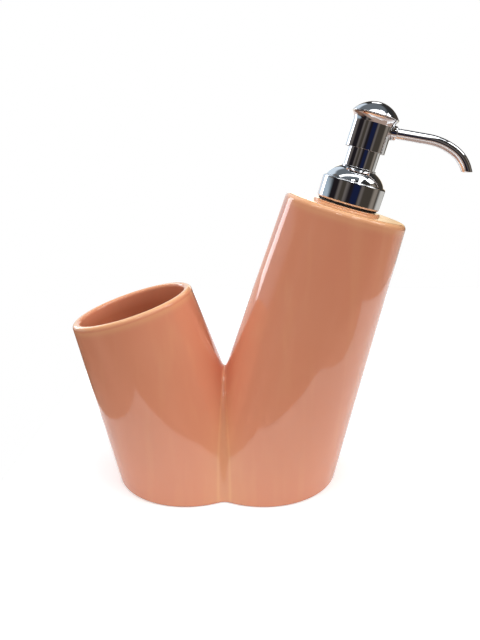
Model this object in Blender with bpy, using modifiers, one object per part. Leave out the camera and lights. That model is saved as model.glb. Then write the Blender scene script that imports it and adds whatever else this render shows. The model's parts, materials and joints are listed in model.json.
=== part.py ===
"""Soap dispenser with a toothbrush cup, built as a V of two leaning ceramic legs.

The open cup leans to -X and the taller soap tank leans to +X. Both grow out of one foot
and meet in a filleted crease. A chromed lotion pump stands on the tank's top, in line
with the tank's axis, with its spout towards +X. Lengths are in metres and angles in
radians. The origin is on the floor, in the middle of the foot.
"""
import math

import bmesh
import bpy
from mathutils import Vector

# Clearances and mesh fineness
GAP = 0.0003                        # left between pieces that touch
MERGE = 0.000005                    # points closer than this are one point
OVERRUN = 0.002                     # how far a cutter reaches past what it cuts
COLUMNS = 44                        # columns of faces round each ceramic leg
COLUMN_CROWD_SHARE = 0.55           # how much closer the columns lie at the crease
CREASE_ROWS = 7
LEG_ROWS = 4
INNER_ROWS = 3
LIP_ROWS = 6
EDGE_ROWS = 3
SHOWN_STEPS = 32                    # facets round a polished piece
HIDDEN_STEPS = 22                   # facets round an inner piece
STEM_STEPS = 18
BALL_SEGMENTS = 10
BALL_RINGS = 6
SEARCH_STEPS = 44                   # halvings that find where a ray leaves a form
LEG_ROW_POWER = 2.0                 # how fast the rows spread apart above the crease
SHARP_ANGLE = math.radians(40.0)    # edges of the ceramic sharper than this stay crisp

# Ceramic legs, measured along and square to their own axes
LEAN = math.radians(15.9)           # of each leg from the vertical
FOOT_OFFSET = 0.0217                # from the middle to each leg's axis, on the floor
FOOT_RADIUS = 0.0413
CUP_LENGTH = 0.1064
CUP_RIM_RADIUS = 0.0340
TANK_LENGTH = 0.1592
TANK_TOP_RADIUS = 0.0321
WALL = 0.0044
SEPTUM = 0.0050                     # wall between cup and tank
FLOOR = 0.0060
CREASE_BLEND = 0.0032               # width over which the two legs run together
FOOT_EDGE = 0.0010                  # rounding where the wall meets the floor
TANK_EDGE = 0.0026                  # rounding round the tank's top
INNER_CORNER = 0.0060               # rounding inside the cup and the tank
FOOT_RING = 0.0070                  # flat ring that the body stands on
FOOT_LAND = 0.0080                  # flat bar between the two hollows of the base
HOLLOW_DEPTH = 0.0012
TOP_THICKNESS = 0.0046
LAND_RADIUS = 0.0171                # low land round the tank's mouth
LAND_HEIGHT = 0.0012
LAND_EDGE = 0.0005
MOUTH_RADIUS = 0.0136
MOUTH_EDGE = 0.0005

# Neck insert and its gasket, glued in the tank's mouth
GASKET_RADIUS = 0.0155
GASKET_THICKNESS = 0.0009
INSERT_FLANGE_RADIUS = 0.0147
INSERT_FLANGE = 0.0015
INSERT_DEPTH = 0.0120
NECK_RADIUS = 0.0130
NECK_BORE = 0.0112
SEAL_THICKNESS = 0.0008
SEAL_WIDTH = 0.0030

# Screw collar: a polished shell pressed over a moulded liner
COLLAR_RADIUS = 0.01635
COLLAR_BAND = 0.0102
COLLAR_SHELL = 0.0007
COLLAR_HEM = 0.0013                 # width of the shell's rolled lower hem
COLLAR_FOOT_EDGE = 0.0011
COLLAR_TOP_EDGE = 0.0011
SHOULDER_HEIGHT = 0.0062
SHOULDER_FOOT_RADIUS = 0.0150
SHOULDER_DRAW = 0.0018              # how far the shoulder is drawn in above its foot
SHOULDER_TOP_PULL_SHARE = 0.28      # how far the shoulder runs straight at its top
SHOULDER_FOOT_PULL_SHARE = 0.55     # and how far at its foot
SHOULDER_ROWS = 6
ROUNDING_ROWS = 3                   # rows in the rounding of a polished edge
LIP_HEIGHT = 0.0006                 # rolled lip round the collar's hole
LIP_WIDTH = 0.0005
LIP_STEP = 0.0002
LINER_WEB = 0.0012
LINER_WEB_SHARE = 0.36              # height of the web's top, in the shoulder

# Riser sleeve and the guide that it stands on
RISER_CLEARANCE = 0.0008            # between the riser and the head's barrel
RISER_WALL = 0.0011
RISER_SHOWN = 0.0090
RISER_OVERLAP = 0.0006              # top of the riser inside the head's skirt
GUIDE_DEPTH = 0.0120
GUIDE_TOWER = 0.0020                # how far the guide stands above the collar
GUIDE_FOOT = 0.0012                 # part of the guide that the stem slides in
GUIDE_RELIEF = 0.0012

# Pump chamber with its inlet valve
CHAMBER_RADIUS = 0.0087
CHAMBER_WALL = 0.0012
CHAMBER_FLANGE = 0.0012
CHAMBER_LENGTH = 0.0500
CHAMBER_TAPER = 0.0040
NOZZLE_WALL = 0.0015
DIP_RADIUS = 0.0030
DIP_WALL = 0.0010
DIP_CLEARANCE = 0.0025              # between the dip tube's end and the tank's floor
DIP_SOCKET = 0.0080
INLET_RADIUS = 0.0016
INLET_LENGTH = 0.0015
BALL_RADIUS = 0.0025
BALL_PLAY = 0.0011
BALL_SEAT_HEIGHT = 0.0022

# Plunger: piston, stem and spring
STROKE = 0.0066                     # leaves the riser clear of the spout's root
PISTON_LENGTH = 0.0080
PISTON_WAIST = 0.0008
PISTON_LIP_SHARE = 0.22             # height of each sealing lip, in the piston
STEM_RADIUS = 0.0040
STEM_BORE = 0.0014
STEM_PORT = 0.0008
STEM_POCKET = 0.0022                # bore round the outlet ball
STEM_POCKET_DEPTH = 0.0048
STEM_SEAT_HEIGHT = 0.0012
OUTLET_BALL_RADIUS = 0.0018
SEAT_FLANGE = 0.0012
SEAT_FLANGE_RADIUS = 0.0067
SEAT_GUIDE_RADIUS = 0.0046
SEAT_GUIDE_LENGTH = 0.0050
SEAT_PIN_LENGTH = 0.0040
SPRING_RADIUS = 0.0061
SPRING_WIRE = 0.00045
SPRING_TURNS = 7
SPRING_POINTS = 9

# Pump head
BARREL_RADIUS = 0.0101
BARREL_WALL = 0.0012
BARREL_LENGTH = 0.0132              # straight part, below the flare
BARREL_EDGE = 0.0003
FLARE_HEIGHT = 0.0033
FLARE_RADIUS = 0.0115
FLARE_PULL_SHARE = 0.50             # how far the flare runs straight at its foot
FLARE_ROWS = 5
CAP_RADIUS = 0.0119
CAP_RIM = 0.0007
CAP_EDGE = 0.0003
DOME_HEIGHT = 0.0060
DOME_ROWS = 7
CAP_BOSS_RADIUS = 0.0078
CAP_BOSS = 0.0012
CORE_TUBE_CLEARANCE = 0.0008        # between the core's tube and the riser's bore
CHANNEL_RADIUS = 0.0015

# Spout, in the plane of the two legs
SPOUT_RADIUS = 0.0026
SPOUT_WALL = 0.0007
SPOUT_HEIGHT = 0.0103               # of the spout's root, above the barrel's lower edge
SPOUT_RISE = math.radians(5.5)      # of its root from square to the pump's axis
SPOUT_SOCKET = 0.0034               # how deep it goes into the core
SPOUT_STRAIGHT = 0.0288             # from the pump's axis to where it starts to bend
SPOUT_EASY_BEND_RADIUS = 0.0340
SPOUT_EASY_BEND = math.radians(25.5)
SPOUT_TIP_BEND_RADIUS = 0.0195
SPOUT_TIP_BEND = math.radians(38.0)
SPOUT_TIP_SPARE = 0.0104            # cut away again to make the end level
SPOUT_BEND_POINTS = 6
SPOUT_RINGS = 4                     # resolution that gives the tube twelve sides
FERRULE_RADIUS = 0.0036
FERRULE_LENGTH = 0.0026
FERRULE_EDGE = 0.0006

# Heights on the pump's axis, from the tank's top, upwards
gasket_bottom = LAND_HEIGHT + GAP
gasket_top = gasket_bottom + GASKET_THICKNESS
insert_bottom = gasket_top + GAP
insert_flange_top = insert_bottom + INSERT_FLANGE
collar_bottom = gasket_top + GAP
band_top = collar_bottom + COLLAR_BAND
shoulder_bottom = band_top + COLLAR_TOP_EDGE
shoulder_top = shoulder_bottom + SHOULDER_HEIGHT
collar_top = shoulder_top + LIP_HEIGHT
web_top = shoulder_bottom + LINER_WEB_SHARE * SHOULDER_HEIGHT
web_bottom = web_top - LINER_WEB
chamber_flange_top = web_bottom - GAP
chamber_flange_bottom = chamber_flange_top - CHAMBER_FLANGE
seal_top = chamber_flange_bottom - GAP
neck_top = seal_top - SEAL_THICKNESS - GAP
guide_bottom = web_bottom - GUIDE_DEPTH
guide_top = collar_top + GUIDE_TOWER
barrel_bottom = collar_top + RISER_SHOWN
riser_top = barrel_bottom + RISER_OVERLAP
core_bottom = guide_top + STROKE + 2 * GAP
block_bottom = riser_top + STROKE + GAP
spout_root = barrel_bottom + SPOUT_HEIGHT
flare_bottom = barrel_bottom + BARREL_LENGTH
flare_top = flare_bottom + FLARE_HEIGHT
cap_bottom = flare_top + GAP
core_top = cap_bottom - CAP_BOSS - GAP
channel_bottom = spout_root - CHANNEL_RADIUS
stem_top = channel_bottom - GAP
piston_top = guide_bottom - GAP
piston_bottom = piston_top - PISTON_LENGTH
spring_seat_top = piston_bottom - GAP
spring_seat_bottom = spring_seat_top - SEAT_FLANGE
chamber_bottom = chamber_flange_bottom - CHAMBER_LENGTH
chamber_floor = chamber_bottom + CHAMBER_WALL
ball_seat_top = chamber_floor - 2 * BALL_RADIUS
ball_seat_bottom = ball_seat_top - BALL_SEAT_HEIGHT
dip_top = ball_seat_bottom - INLET_LENGTH - GAP
nozzle_bottom = dip_top - DIP_SOCKET
dip_foot_height = FLOOR + DIP_CLEARANCE + DIP_RADIUS * math.sin(LEAN)
dip_bottom = dip_foot_height / math.cos(LEAN) - TANK_LENGTH

# Radii that follow from what a piece sits in or on
lip_radius = WALL / 2
liner_radius = COLLAR_RADIUS - COLLAR_SHELL - GAP
liner_bore = NECK_RADIUS + GAP
flange_radius = NECK_RADIUS - GAP
chamber_bore = CHAMBER_RADIUS - CHAMBER_WALL
barrel_bore = BARREL_RADIUS - BARREL_WALL
riser_radius = barrel_bore - RISER_CLEARANCE
riser_bore = riser_radius - RISER_WALL
collar_hole = riser_radius + GAP
stem_guide_bore = STEM_RADIUS + GAP
guide_flange_radius = riser_radius - GAP
web_hole = guide_flange_radius + GAP
core_radius = barrel_bore - GAP
core_tube_radius = riser_bore - CORE_TUBE_CLEARANCE
spout_hole = SPOUT_RADIUS + GAP


def new_collection(name):
    """Collection of that name in the scene."""
    collection = bpy.data.collections.new(name)
    bpy.context.scene.collection.children.link(collection)
    return collection


for leftover in list(bpy.data.objects):
    bpy.data.objects.remove(leftover, do_unlink=True)
pieces = new_collection("soap_dispenser")
cutters = new_collection("cutters")

# Looks: colour, roughness, metallic
GLAZE = ((0.73, 0.31, 0.19), 0.12, 0.0)
CHROME = ((0.78, 0.79, 0.80), 0.07, 1.0)
STEEL = ((0.62, 0.62, 0.61), 0.25, 1.0)
WHITE_PLASTIC = ((0.83, 0.83, 0.80), 0.40, 0.0)
CLEAR_PLASTIC = ((0.78, 0.80, 0.80), 0.30, 0.0)
RUBBER = ((0.015, 0.015, 0.016), 0.65, 0.0)


def dress(piece, look):
    """Give a piece its own material from a colour, a roughness and a metallic value."""
    colour, roughness, metallic = look
    material = bpy.data.materials.new(piece.name)
    material.use_nodes = True
    shader = material.node_tree.nodes["Principled BSDF"]
    shader.inputs["Base Color"].default_value = (*colour, 1.0)
    shader.inputs["Roughness"].default_value = roughness
    shader.inputs["Metallic"].default_value = metallic
    piece.data.materials.append(material)


def add_piece(name, data, look, parent=None):
    """Object for a piece of the dispenser, dressed and parented."""
    piece = bpy.data.objects.new(name, data)
    pieces.objects.link(piece)
    piece.parent = parent
    dress(piece, look)
    return piece


def add_cutter(name, data, parent=None):
    """Object that only cuts other pieces."""
    cutter = bpy.data.objects.new(name, data)
    cutters.objects.link(cutter)
    cutter.parent = parent
    cutter.hide_render = True
    cutter.display_type = "WIRE"
    return cutter


def add_axis(name, location, turn, parent=None):
    """Empty whose Z is the axis that its pieces are turned about."""
    axis = bpy.data.objects.new(name, None)
    pieces.objects.link(axis)
    axis.parent = parent
    axis.location = location
    axis.rotation_euler = (0.0, turn, 0.0)
    return axis


def cut(piece, cutter):
    """Take the cutter's volume out of the piece."""
    boolean = piece.modifiers.new(cutter.name, "BOOLEAN")
    boolean.operation = "DIFFERENCE"
    boolean.solver = "EXACT"
    boolean.object = cutter


def runs_downwards(outline):
    """Whether a (radius, height) outline runs down its outer side."""
    area = 0.0
    for (r0, h0), (r1, h1) in zip(outline, outline[1:] + outline[:1]):
        area += r0 * h1 - r1 * h0
    return area < 0


def turned(name, outline, look, parent, steps=HIDDEN_STEPS):
    """Piece turned about its parent's Z from (radius, height) points.

    An outline that starts and ends on the axis makes a solid piece. Any other outline
    is closed and makes a ring.
    """
    if not runs_downwards(outline):
        outline = outline[::-1]
    edges = [(i, i + 1) for i in range(len(outline) - 1)]
    if outline[0][0] > 0:
        edges.append((len(outline) - 1, 0))
    mesh = bpy.data.meshes.new(name)
    mesh.from_pydata([(radius, 0.0, height) for radius, height in outline], edges, [])
    piece = add_piece(name, mesh, look, parent)
    screw = piece.modifiers.new("turn", "SCREW")
    screw.axis = "Z"
    screw.steps = steps
    screw.render_steps = steps
    screw.use_merge_vertices = True
    screw.merge_threshold = MERGE
    screw.use_smooth_shade = True
    return piece


def rod_cutter(name, radius, low, high, parent, steps=HIDDEN_STEPS):
    """Round cutter along its parent's Z, from low to high."""
    form = bmesh.new()
    bmesh.ops.create_cone(form, cap_ends=True, segments=steps, radius1=radius,
                          radius2=radius, depth=high - low)
    mesh = bpy.data.meshes.new(name)
    form.to_mesh(mesh)
    form.free()
    cutter = add_cutter(name, mesh, parent)
    cutter.location = (0.0, 0.0, (low + high) / 2)
    return cutter


def bezier(start, start_pull, end_pull, end, count):
    """Points along a cubic curve, both ends included."""
    points = []
    for i in range(count + 1):
        t = i / count
        shares = ((1 - t) ** 3, 3 * t * (1 - t) ** 2, 3 * t * t * (1 - t), t ** 3)
        corners = (start, start_pull, end_pull, end)
        points.append(tuple(sum(share * corner[axis] for share, corner in zip(shares, corners))
                            for axis in (0, 1)))
    return points


def rounding(radius, height, edge, start):
    """Quarter round about a (radius, height) centre, from a start angle downwards."""
    turns = [start - math.pi / 2 * i / ROUNDING_ROWS for i in range(ROUNDING_ROWS + 1)]
    return [(radius + edge * math.cos(turn), height + edge * math.sin(turn)) for turn in turns]


def radius_at(curve, height):
    """Radius of a (radius, height) curve at a height, by straight interpolation."""
    for (r0, h0), (r1, h1) in zip(curve, curve[1:]):
        if min(h0, h1) <= height <= max(h0, h1) and h0 != h1:
            return r0 + (r1 - r0) * (height - h0) / (h1 - h0)
    return min(curve, key=lambda point: abs(point[1] - height))[0]


class Leg:
    """A leaning, tapered ceramic leg. Side is -1 for the cup and 1 for the tank."""

    def __init__(self, side, length, top_radius):
        self.side = side
        self.length = length
        self.taper = (FOOT_RADIUS - top_radius) / length
        self.foot = Vector((side * FOOT_OFFSET, 0.0, 0.0))
        self.axis = Vector((side * math.sin(LEAN), 0.0, math.cos(LEAN)))

    def centre(self, station):
        """Point on the axis at a distance from the floor."""
        return self.foot + station * self.axis

    def off_axis(self, point):
        """Distance of a point from the axis."""
        arm = point - self.foot
        return (arm - arm.dot(self.axis) * self.axis).length

    def skin(self, point):
        """How far a point lies outside the leg's own tapered surface."""
        station = (point - self.foot).dot(self.axis)
        return self.off_axis(point) - (FOOT_RADIUS - self.taper * station)

    def hollow(self, point, wall, half_middle):
        """How far a point lies outside the room that a wall and half a middle wall leave."""
        return smooth_max(self.skin(point) + wall, half_middle - self.side * point.x,
                          INNER_CORNER)

    def room(self, point):
        """How far a point lies outside the room inside the leg."""
        return self.hollow(point, WALL, SEPTUM / 2)

    def station_at(self, height):
        """Distance along the axis at which it reaches a height."""
        return height / math.cos(LEAN)


def smooth_min(a, b, blend):
    """Smaller of two values, run together over a blend."""
    near = max(blend - abs(a - b), 0.0) / blend
    return min(a, b) - near * near * blend / 4


def smooth_max(a, b, blend):
    """Larger of two values, run together over a blend."""
    return -smooth_min(-a, -b, blend)


cup = Leg(-1, CUP_LENGTH, CUP_RIM_RADIUS)
tank = Leg(1, TANK_LENGTH, TANK_TOP_RADIUS)


def body_skin(point):
    """How far a point lies outside the two legs run together."""
    return smooth_min(cup.skin(point), tank.skin(point), CREASE_BLEND)


def crossing(field, start, direction, limit):
    """Distance along a ray from inside a form to where the field turns positive."""
    low, high = 0.0, limit
    for _ in range(SEARCH_STEPS):
        middle = (low + high) / 2
        if field(start + middle * direction) < 0:
            low = middle
        else:
            high = middle
    return high


def crease_reach(height, inset):
    """Half depth of the joined section in the middle plane, or 0 above the saddle."""
    start = Vector((0.0, 0.0, height))
    if body_skin(start) + inset >= 0:
        return 0.0
    return crossing(lambda point: body_skin(point) + inset, start, Vector((0.0, 1.0, 0.0)),
                    2 * FOOT_RADIUS)


def column_angles(crease_angle):
    """Angles of a ring's columns, from the front crease round to the back one."""
    angles = []
    for column in range(COLUMNS + 1):
        share = column / COLUMNS
        share -= COLUMN_CROWD_SHARE * math.sin(math.tau * share) / math.tau
        angles.append(crease_angle + (math.tau - 2 * crease_angle) * share)
    return angles


def ring(leg, station, tilt, field, crease=0.0):
    """Row of points where rays from a leg's axis leave a form.

    The rays lie in a plane that tilts with the leg. With a crease, the row starts and
    ends on the middle plane.
    """
    centre = leg.centre(station)
    inward = Vector((-leg.side * math.cos(tilt), 0.0, math.sin(tilt)))
    front = Vector((0.0, -1.0, 0.0))
    points = []
    for angle in column_angles(math.atan2(crease, abs(centre.x))):
        ray = math.cos(angle) * inward + math.sin(angle) * front
        limit = 2 * FOOT_RADIUS
        if ray.x * leg.side < 0:
            limit = min(limit, -centre.x / ray.x)
        points.append(centre + crossing(field, centre, ray, limit) * ray)
    if crease > 0:
        points[0] = Vector((0.0, -crease, centre.z))
        points[-1] = Vector((0.0, crease, centre.z))
    return points


saddle_height = crossing(body_skin, Vector((0.0, 0.0, 0.0)), Vector((0.0, 0.0, 1.0)),
                         CUP_LENGTH)


def tilt_at(leg, station, level_station):
    """Tilt of a ring: level up to the saddle, and square to the leg from a station on."""
    low = leg.station_at(saddle_height)
    share = (station - low) / (level_station - low)
    return LEAN * min(max(share, 0.0), 1.0)


def outer_rows(leg, top_station):
    """Rows of the body's outer skin on one side, from the floor to below the top edge."""
    rows = []
    for i in range(EDGE_ROWS):
        turn = math.pi / 2 * i / EDGE_ROWS
        height = FOOT_EDGE * (1 - math.cos(turn))
        inset = FOOT_EDGE * (1 - math.sin(turn))
        rows.append(ring(leg, leg.station_at(height), 0.0,
                         lambda point: body_skin(point) + inset, crease_reach(height, inset)))
    for i in range(CREASE_ROWS):
        climb = 1 - (1 - i / CREASE_ROWS) ** 2
        height = FOOT_EDGE + (saddle_height - FOOT_EDGE) * climb
        rows.append(ring(leg, leg.station_at(height), 0.0, body_skin, crease_reach(height, 0.0)))
    saddle_station = leg.station_at(saddle_height)
    saddle_row = ring(leg, saddle_station, 0.0, body_skin)
    saddle_row[0] = saddle_row[-1] = Vector((0.0, 0.0, saddle_height))
    rows.append(saddle_row)
    for i in range(1, LEG_ROWS + 1):
        station = saddle_station + (top_station - saddle_station) * (i / LEG_ROWS) ** LEG_ROW_POWER
        rows.append(ring(leg, station, tilt_at(leg, station, top_station), body_skin))
    return rows


def inner_rows(leg, top_station):
    """Rows of the room inside one leg, from below its top down to its floor."""
    rows = []
    bottom = leg.station_at(FLOOR + INNER_CORNER)
    for i in range(1, INNER_ROWS + 1):
        station = top_station + (bottom - top_station) * i / INNER_ROWS
        rows.append(ring(leg, station, tilt_at(leg, station, top_station), leg.room))
    for i in range(1, EDGE_ROWS + 1):
        turn = math.pi / 2 * i / EDGE_ROWS
        height = FLOOR + INNER_CORNER * (1 - math.sin(turn))
        inset = INNER_CORNER * (1 - math.cos(turn))
        rows.append(ring(leg, leg.station_at(height), 0.0,
                         lambda point: leg.room(point) + inset))
    return rows


def cup_rows():
    """Rows of the cup: up its outer skin, over the round lip and down inside."""
    top_station = cup.length - lip_radius
    rows = outer_rows(cup, top_station)
    for i in range(1, LIP_ROWS + 1):
        turn = math.pi * i / LIP_ROWS
        inset = lip_radius * (1 - math.cos(turn))
        rows.append(ring(cup, top_station + lip_radius * math.sin(turn), LEAN,
                         lambda point: cup.skin(point) + inset))
    return rows + inner_rows(cup, top_station)


def tank_rows():
    """Rows of the tank: up its outer skin, over its top and land, and down inside."""
    edge_station = tank.length - TANK_EDGE
    rows = outer_rows(tank, edge_station)
    for i in range(1, EDGE_ROWS + 1):
        turn = math.pi / 2 * i / EDGE_ROWS
        inset = TANK_EDGE * (1 - math.cos(turn))
        rows.append(ring(tank, edge_station + TANK_EDGE * math.sin(turn), LEAN,
                         lambda point: tank.skin(point) + inset))
    under_top = tank.length - TOP_THICKNESS
    land_top = tank.length + LAND_HEIGHT
    steps = ((LAND_RADIUS + LAND_EDGE, tank.length), (LAND_RADIUS, tank.length + LAND_EDGE),
             (LAND_RADIUS - LAND_EDGE, land_top), (MOUTH_RADIUS + MOUTH_EDGE, land_top),
             (MOUTH_RADIUS, land_top - MOUTH_EDGE), (MOUTH_RADIUS, under_top + MOUTH_EDGE),
             (MOUTH_RADIUS + MOUTH_EDGE, under_top))
    for radius, station in steps:
        rows.append(ring(tank, station, LEAN, lambda point: tank.off_axis(point) - radius))
    for i in range(EDGE_ROWS + 1):
        turn = math.pi / 2 * i / EDGE_ROWS
        inset = INNER_CORNER * (1 - math.sin(turn))
        station = under_top - INNER_CORNER * (1 - math.cos(turn))
        rows.append(ring(tank, station, LEAN, lambda point: tank.room(point) + inset))
    return rows + inner_rows(tank, under_top - INNER_CORNER)


def base_hollow(leg):
    """Cutter for the shallow hollow under one leg, inside its foot ring."""
    outline = ring(leg, 0.0, 0.0, lambda point: leg.hollow(point, FOOT_RING, FOOT_LAND / 2))
    form = bmesh.new()
    face = form.faces.new([form.verts.new(point - Vector((0.0, 0.0, OVERRUN)))
                           for point in outline[:-1]])
    raised = bmesh.ops.extrude_face_region(form, geom=[face])
    lifted = [item for item in raised["geom"] if isinstance(item, bmesh.types.BMVert)]
    bmesh.ops.translate(form, vec=(0.0, 0.0, OVERRUN + HOLLOW_DEPTH), verts=lifted)
    bmesh.ops.recalc_face_normals(form, faces=form.faces)
    mesh = bpy.data.meshes.new("base_hollow")
    form.to_mesh(mesh)
    form.free()
    return add_cutter("base_hollow", mesh)


def make_ceramic_body():
    """Both legs in one casting, lofted row by row, with the crease between them."""
    form = bmesh.new()
    first_rows = []
    for rows in (cup_rows(), tank_rows()):
        grid = [[form.verts.new(point) for point in row] for row in rows]
        for low, high in zip(grid, grid[1:]):
            for i in range(COLUMNS):
                form.faces.new((low[i], low[i + 1], high[i + 1], high[i]))
        form.faces.new(grid[-1][:-1])
        first_rows.append(grid[0])
    form.faces.new(first_rows[0] + first_rows[1][-2:0:-1])
    bmesh.ops.remove_doubles(form, verts=form.verts, dist=MERGE)
    bmesh.ops.recalc_face_normals(form, faces=form.faces)
    mesh = bpy.data.meshes.new("ceramic_body")
    form.to_mesh(mesh)
    form.free()
    mesh.shade_smooth()
    mesh.set_sharp_from_angle(angle=SHARP_ANGLE)
    body = add_piece("ceramic_body", mesh, GLAZE)
    for leg in (cup, tank):
        cut(body, base_hollow(leg))


def make_neck(axis):
    """Insert glued in the tank's mouth, with the gaskets under and over it."""
    turned("base_gasket", [(MOUTH_RADIUS, gasket_bottom), (GASKET_RADIUS, gasket_bottom),
                           (GASKET_RADIUS, gasket_top), (MOUTH_RADIUS, gasket_top)],
           RUBBER, axis)
    sleeve = MOUTH_RADIUS - GAP
    turned("neck_insert", [(NECK_BORE, -INSERT_DEPTH), (sleeve, -INSERT_DEPTH),
                           (sleeve, insert_bottom), (INSERT_FLANGE_RADIUS, insert_bottom),
                           (INSERT_FLANGE_RADIUS, insert_flange_top),
                           (NECK_RADIUS, insert_flange_top), (NECK_RADIUS, neck_top),
                           (NECK_BORE, neck_top)],
           WHITE_PLASTIC, axis)
    turned("neck_seal", [(flange_radius - SEAL_WIDTH, neck_top + GAP),
                         (flange_radius, neck_top + GAP), (flange_radius, seal_top),
                         (flange_radius - SEAL_WIDTH, seal_top)],
           RUBBER, axis)


def shoulder_curve(inset):
    """Ogee of the collar's shoulder from its top down, set in by a shell's thickness."""
    foot = SHOULDER_FOOT_RADIUS - inset
    neck = collar_hole + LIP_WIDTH / 2
    top = shoulder_top - inset
    fall = top - (shoulder_bottom - inset)
    return bezier((neck, top), (neck, top - SHOULDER_TOP_PULL_SHARE * fall),
                  (foot - SHOULDER_DRAW, top - (1 - SHOULDER_FOOT_PULL_SHARE) * fall),
                  (foot, top - fall), SHOULDER_ROWS)


def make_collar(axis):
    """Polished shell with its ogee shoulder, and the threaded liner inside it."""
    inside = shoulder_curve(COLLAR_SHELL)
    outline = [(collar_hole, collar_top), (collar_hole + LIP_WIDTH, collar_top)]
    outline += [(collar_hole + LIP_WIDTH, shoulder_top + LIP_STEP)]
    outline += shoulder_curve(0.0)
    outline += rounding(COLLAR_RADIUS - COLLAR_TOP_EDGE, band_top, COLLAR_TOP_EDGE, math.pi / 2)
    outline += rounding(COLLAR_RADIUS - COLLAR_FOOT_EDGE, collar_bottom + COLLAR_FOOT_EDGE,
                        COLLAR_FOOT_EDGE, 0.0)
    hem = COLLAR_RADIUS - COLLAR_HEM
    outline += [(hem, collar_bottom), (hem, collar_bottom + COLLAR_SHELL),
                (COLLAR_RADIUS - COLLAR_SHELL, collar_bottom + COLLAR_FOOT_EDGE),
                (COLLAR_RADIUS - COLLAR_SHELL, band_top)]
    outline += inside[:0:-1]
    outline += [(collar_hole, inside[0][1])]
    turned("collar_shell", outline, CHROME, axis, SHOWN_STEPS)
    liner_shoulder = band_top - GAP
    web_edge = radius_at(inside, web_top + GAP) - GAP
    web_foot = radius_at(inside, web_bottom) - GAP
    turned("collar_liner", [(liner_bore, insert_flange_top + GAP),
                            (liner_radius, insert_flange_top + GAP),
                            (liner_radius, liner_shoulder - GAP),
                            (inside[-1][0] - GAP, liner_shoulder), (web_foot, web_bottom),
                            (web_edge, web_top), (web_hole, web_top),
                            (web_hole, web_bottom), (liner_bore, web_bottom)],
           WHITE_PLASTIC, axis)


def make_chamber(axis):
    """Chamber that hangs in the neck, its inlet ball, dip tube, guide and riser."""
    pocket = BALL_RADIUS + BALL_PLAY
    nozzle = DIP_RADIUS + GAP + NOZZLE_WALL
    turned("pump_chamber", [(flange_radius, chamber_flange_top),
                            (flange_radius, chamber_flange_bottom),
                            (CHAMBER_RADIUS, chamber_flange_bottom),
                            (CHAMBER_RADIUS, chamber_bottom),
                            (nozzle, chamber_bottom - CHAMBER_TAPER),
                            (nozzle, nozzle_bottom), (DIP_RADIUS + GAP, nozzle_bottom),
                            (DIP_RADIUS + GAP, dip_top + GAP), (INLET_RADIUS, dip_top + GAP),
                            (INLET_RADIUS, ball_seat_bottom), (pocket, ball_seat_top),
                            (pocket, chamber_floor), (chamber_bore, chamber_floor),
                            (chamber_bore, chamber_flange_top)],
           CLEAR_PLASTIC, axis)
    seat_slope = math.atan2(BALL_SEAT_HEIGHT, pocket - INLET_RADIUS)
    rest = (BALL_RADIUS + GAP - INLET_RADIUS * math.sin(seat_slope)) / math.cos(seat_slope)
    make_ball("inlet_ball", BALL_RADIUS, ball_seat_bottom + rest, axis)
    turned("dip_tube", [(DIP_RADIUS - DIP_WALL, dip_bottom), (DIP_RADIUS, dip_bottom),
                        (DIP_RADIUS, dip_top), (DIP_RADIUS - DIP_WALL, dip_top)],
           CLEAR_PLASTIC, axis, STEM_STEPS)
    sleeve = chamber_bore - GAP
    relief = stem_guide_bore + GUIDE_RELIEF
    tower = riser_bore - GAP
    turned("stem_guide", [(stem_guide_bore, guide_bottom), (sleeve, guide_bottom),
                          (sleeve, web_bottom), (guide_flange_radius, web_bottom),
                          (guide_flange_radius, web_top), (tower, web_top),
                          (tower, guide_top), (stem_guide_bore, guide_top),
                          (stem_guide_bore, web_top), (relief, web_bottom),
                          (relief, guide_bottom + GUIDE_FOOT + GUIDE_RELIEF),
                          (stem_guide_bore, guide_bottom + GUIDE_FOOT)],
           WHITE_PLASTIC, axis)
    turned("riser_sleeve", [(riser_bore, web_top + GAP), (riser_radius, web_top + GAP),
                            (riser_radius, riser_top - GAP), (riser_radius - GAP, riser_top),
                            (riser_bore, riser_top)],
           CHROME, axis, SHOWN_STEPS)


def make_ball(name, radius, height, axis):
    """Steel valve ball on an axis."""
    form = bmesh.new()
    bmesh.ops.create_uvsphere(form, u_segments=BALL_SEGMENTS, v_segments=BALL_RINGS,
                              radius=radius)
    mesh = bpy.data.meshes.new(name)
    form.to_mesh(mesh)
    form.free()
    mesh.shade_smooth()
    ball = add_piece(name, mesh, STEEL, axis)
    ball.location = (0.0, 0.0, height)


def make_plunger(axis):
    """Piston and the spring's upper seat, which slide and don't turn."""
    seal = chamber_bore - GAP
    waist = seal - PISTON_WAIST
    lip = PISTON_LIP_SHARE * PISTON_LENGTH
    slope = lip / 2
    turned("piston", [(stem_guide_bore, piston_bottom), (waist, piston_bottom),
                      (seal, piston_bottom + slope), (seal, piston_bottom + lip),
                      (waist, piston_bottom + lip + slope), (waist, piston_top - lip - slope),
                      (seal, piston_top - lip), (seal, piston_top - slope),
                      (waist, piston_top), (stem_guide_bore, piston_top)],
           CLEAR_PLASTIC, axis)
    pin = STEM_BORE - GAP
    guide_end = spring_seat_bottom - SEAT_GUIDE_LENGTH
    turned("spring_seat", [(0.0, spring_seat_top + SEAT_PIN_LENGTH),
                           (pin, spring_seat_top + SEAT_PIN_LENGTH), (pin, spring_seat_top),
                           (SEAT_FLANGE_RADIUS, spring_seat_top),
                           (SEAT_FLANGE_RADIUS, spring_seat_bottom),
                           (SEAT_GUIDE_RADIUS, spring_seat_bottom),
                           (SEAT_GUIDE_RADIUS, guide_end), (0.0, guide_end)],
           WHITE_PLASTIC, axis, STEM_STEPS)


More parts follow.
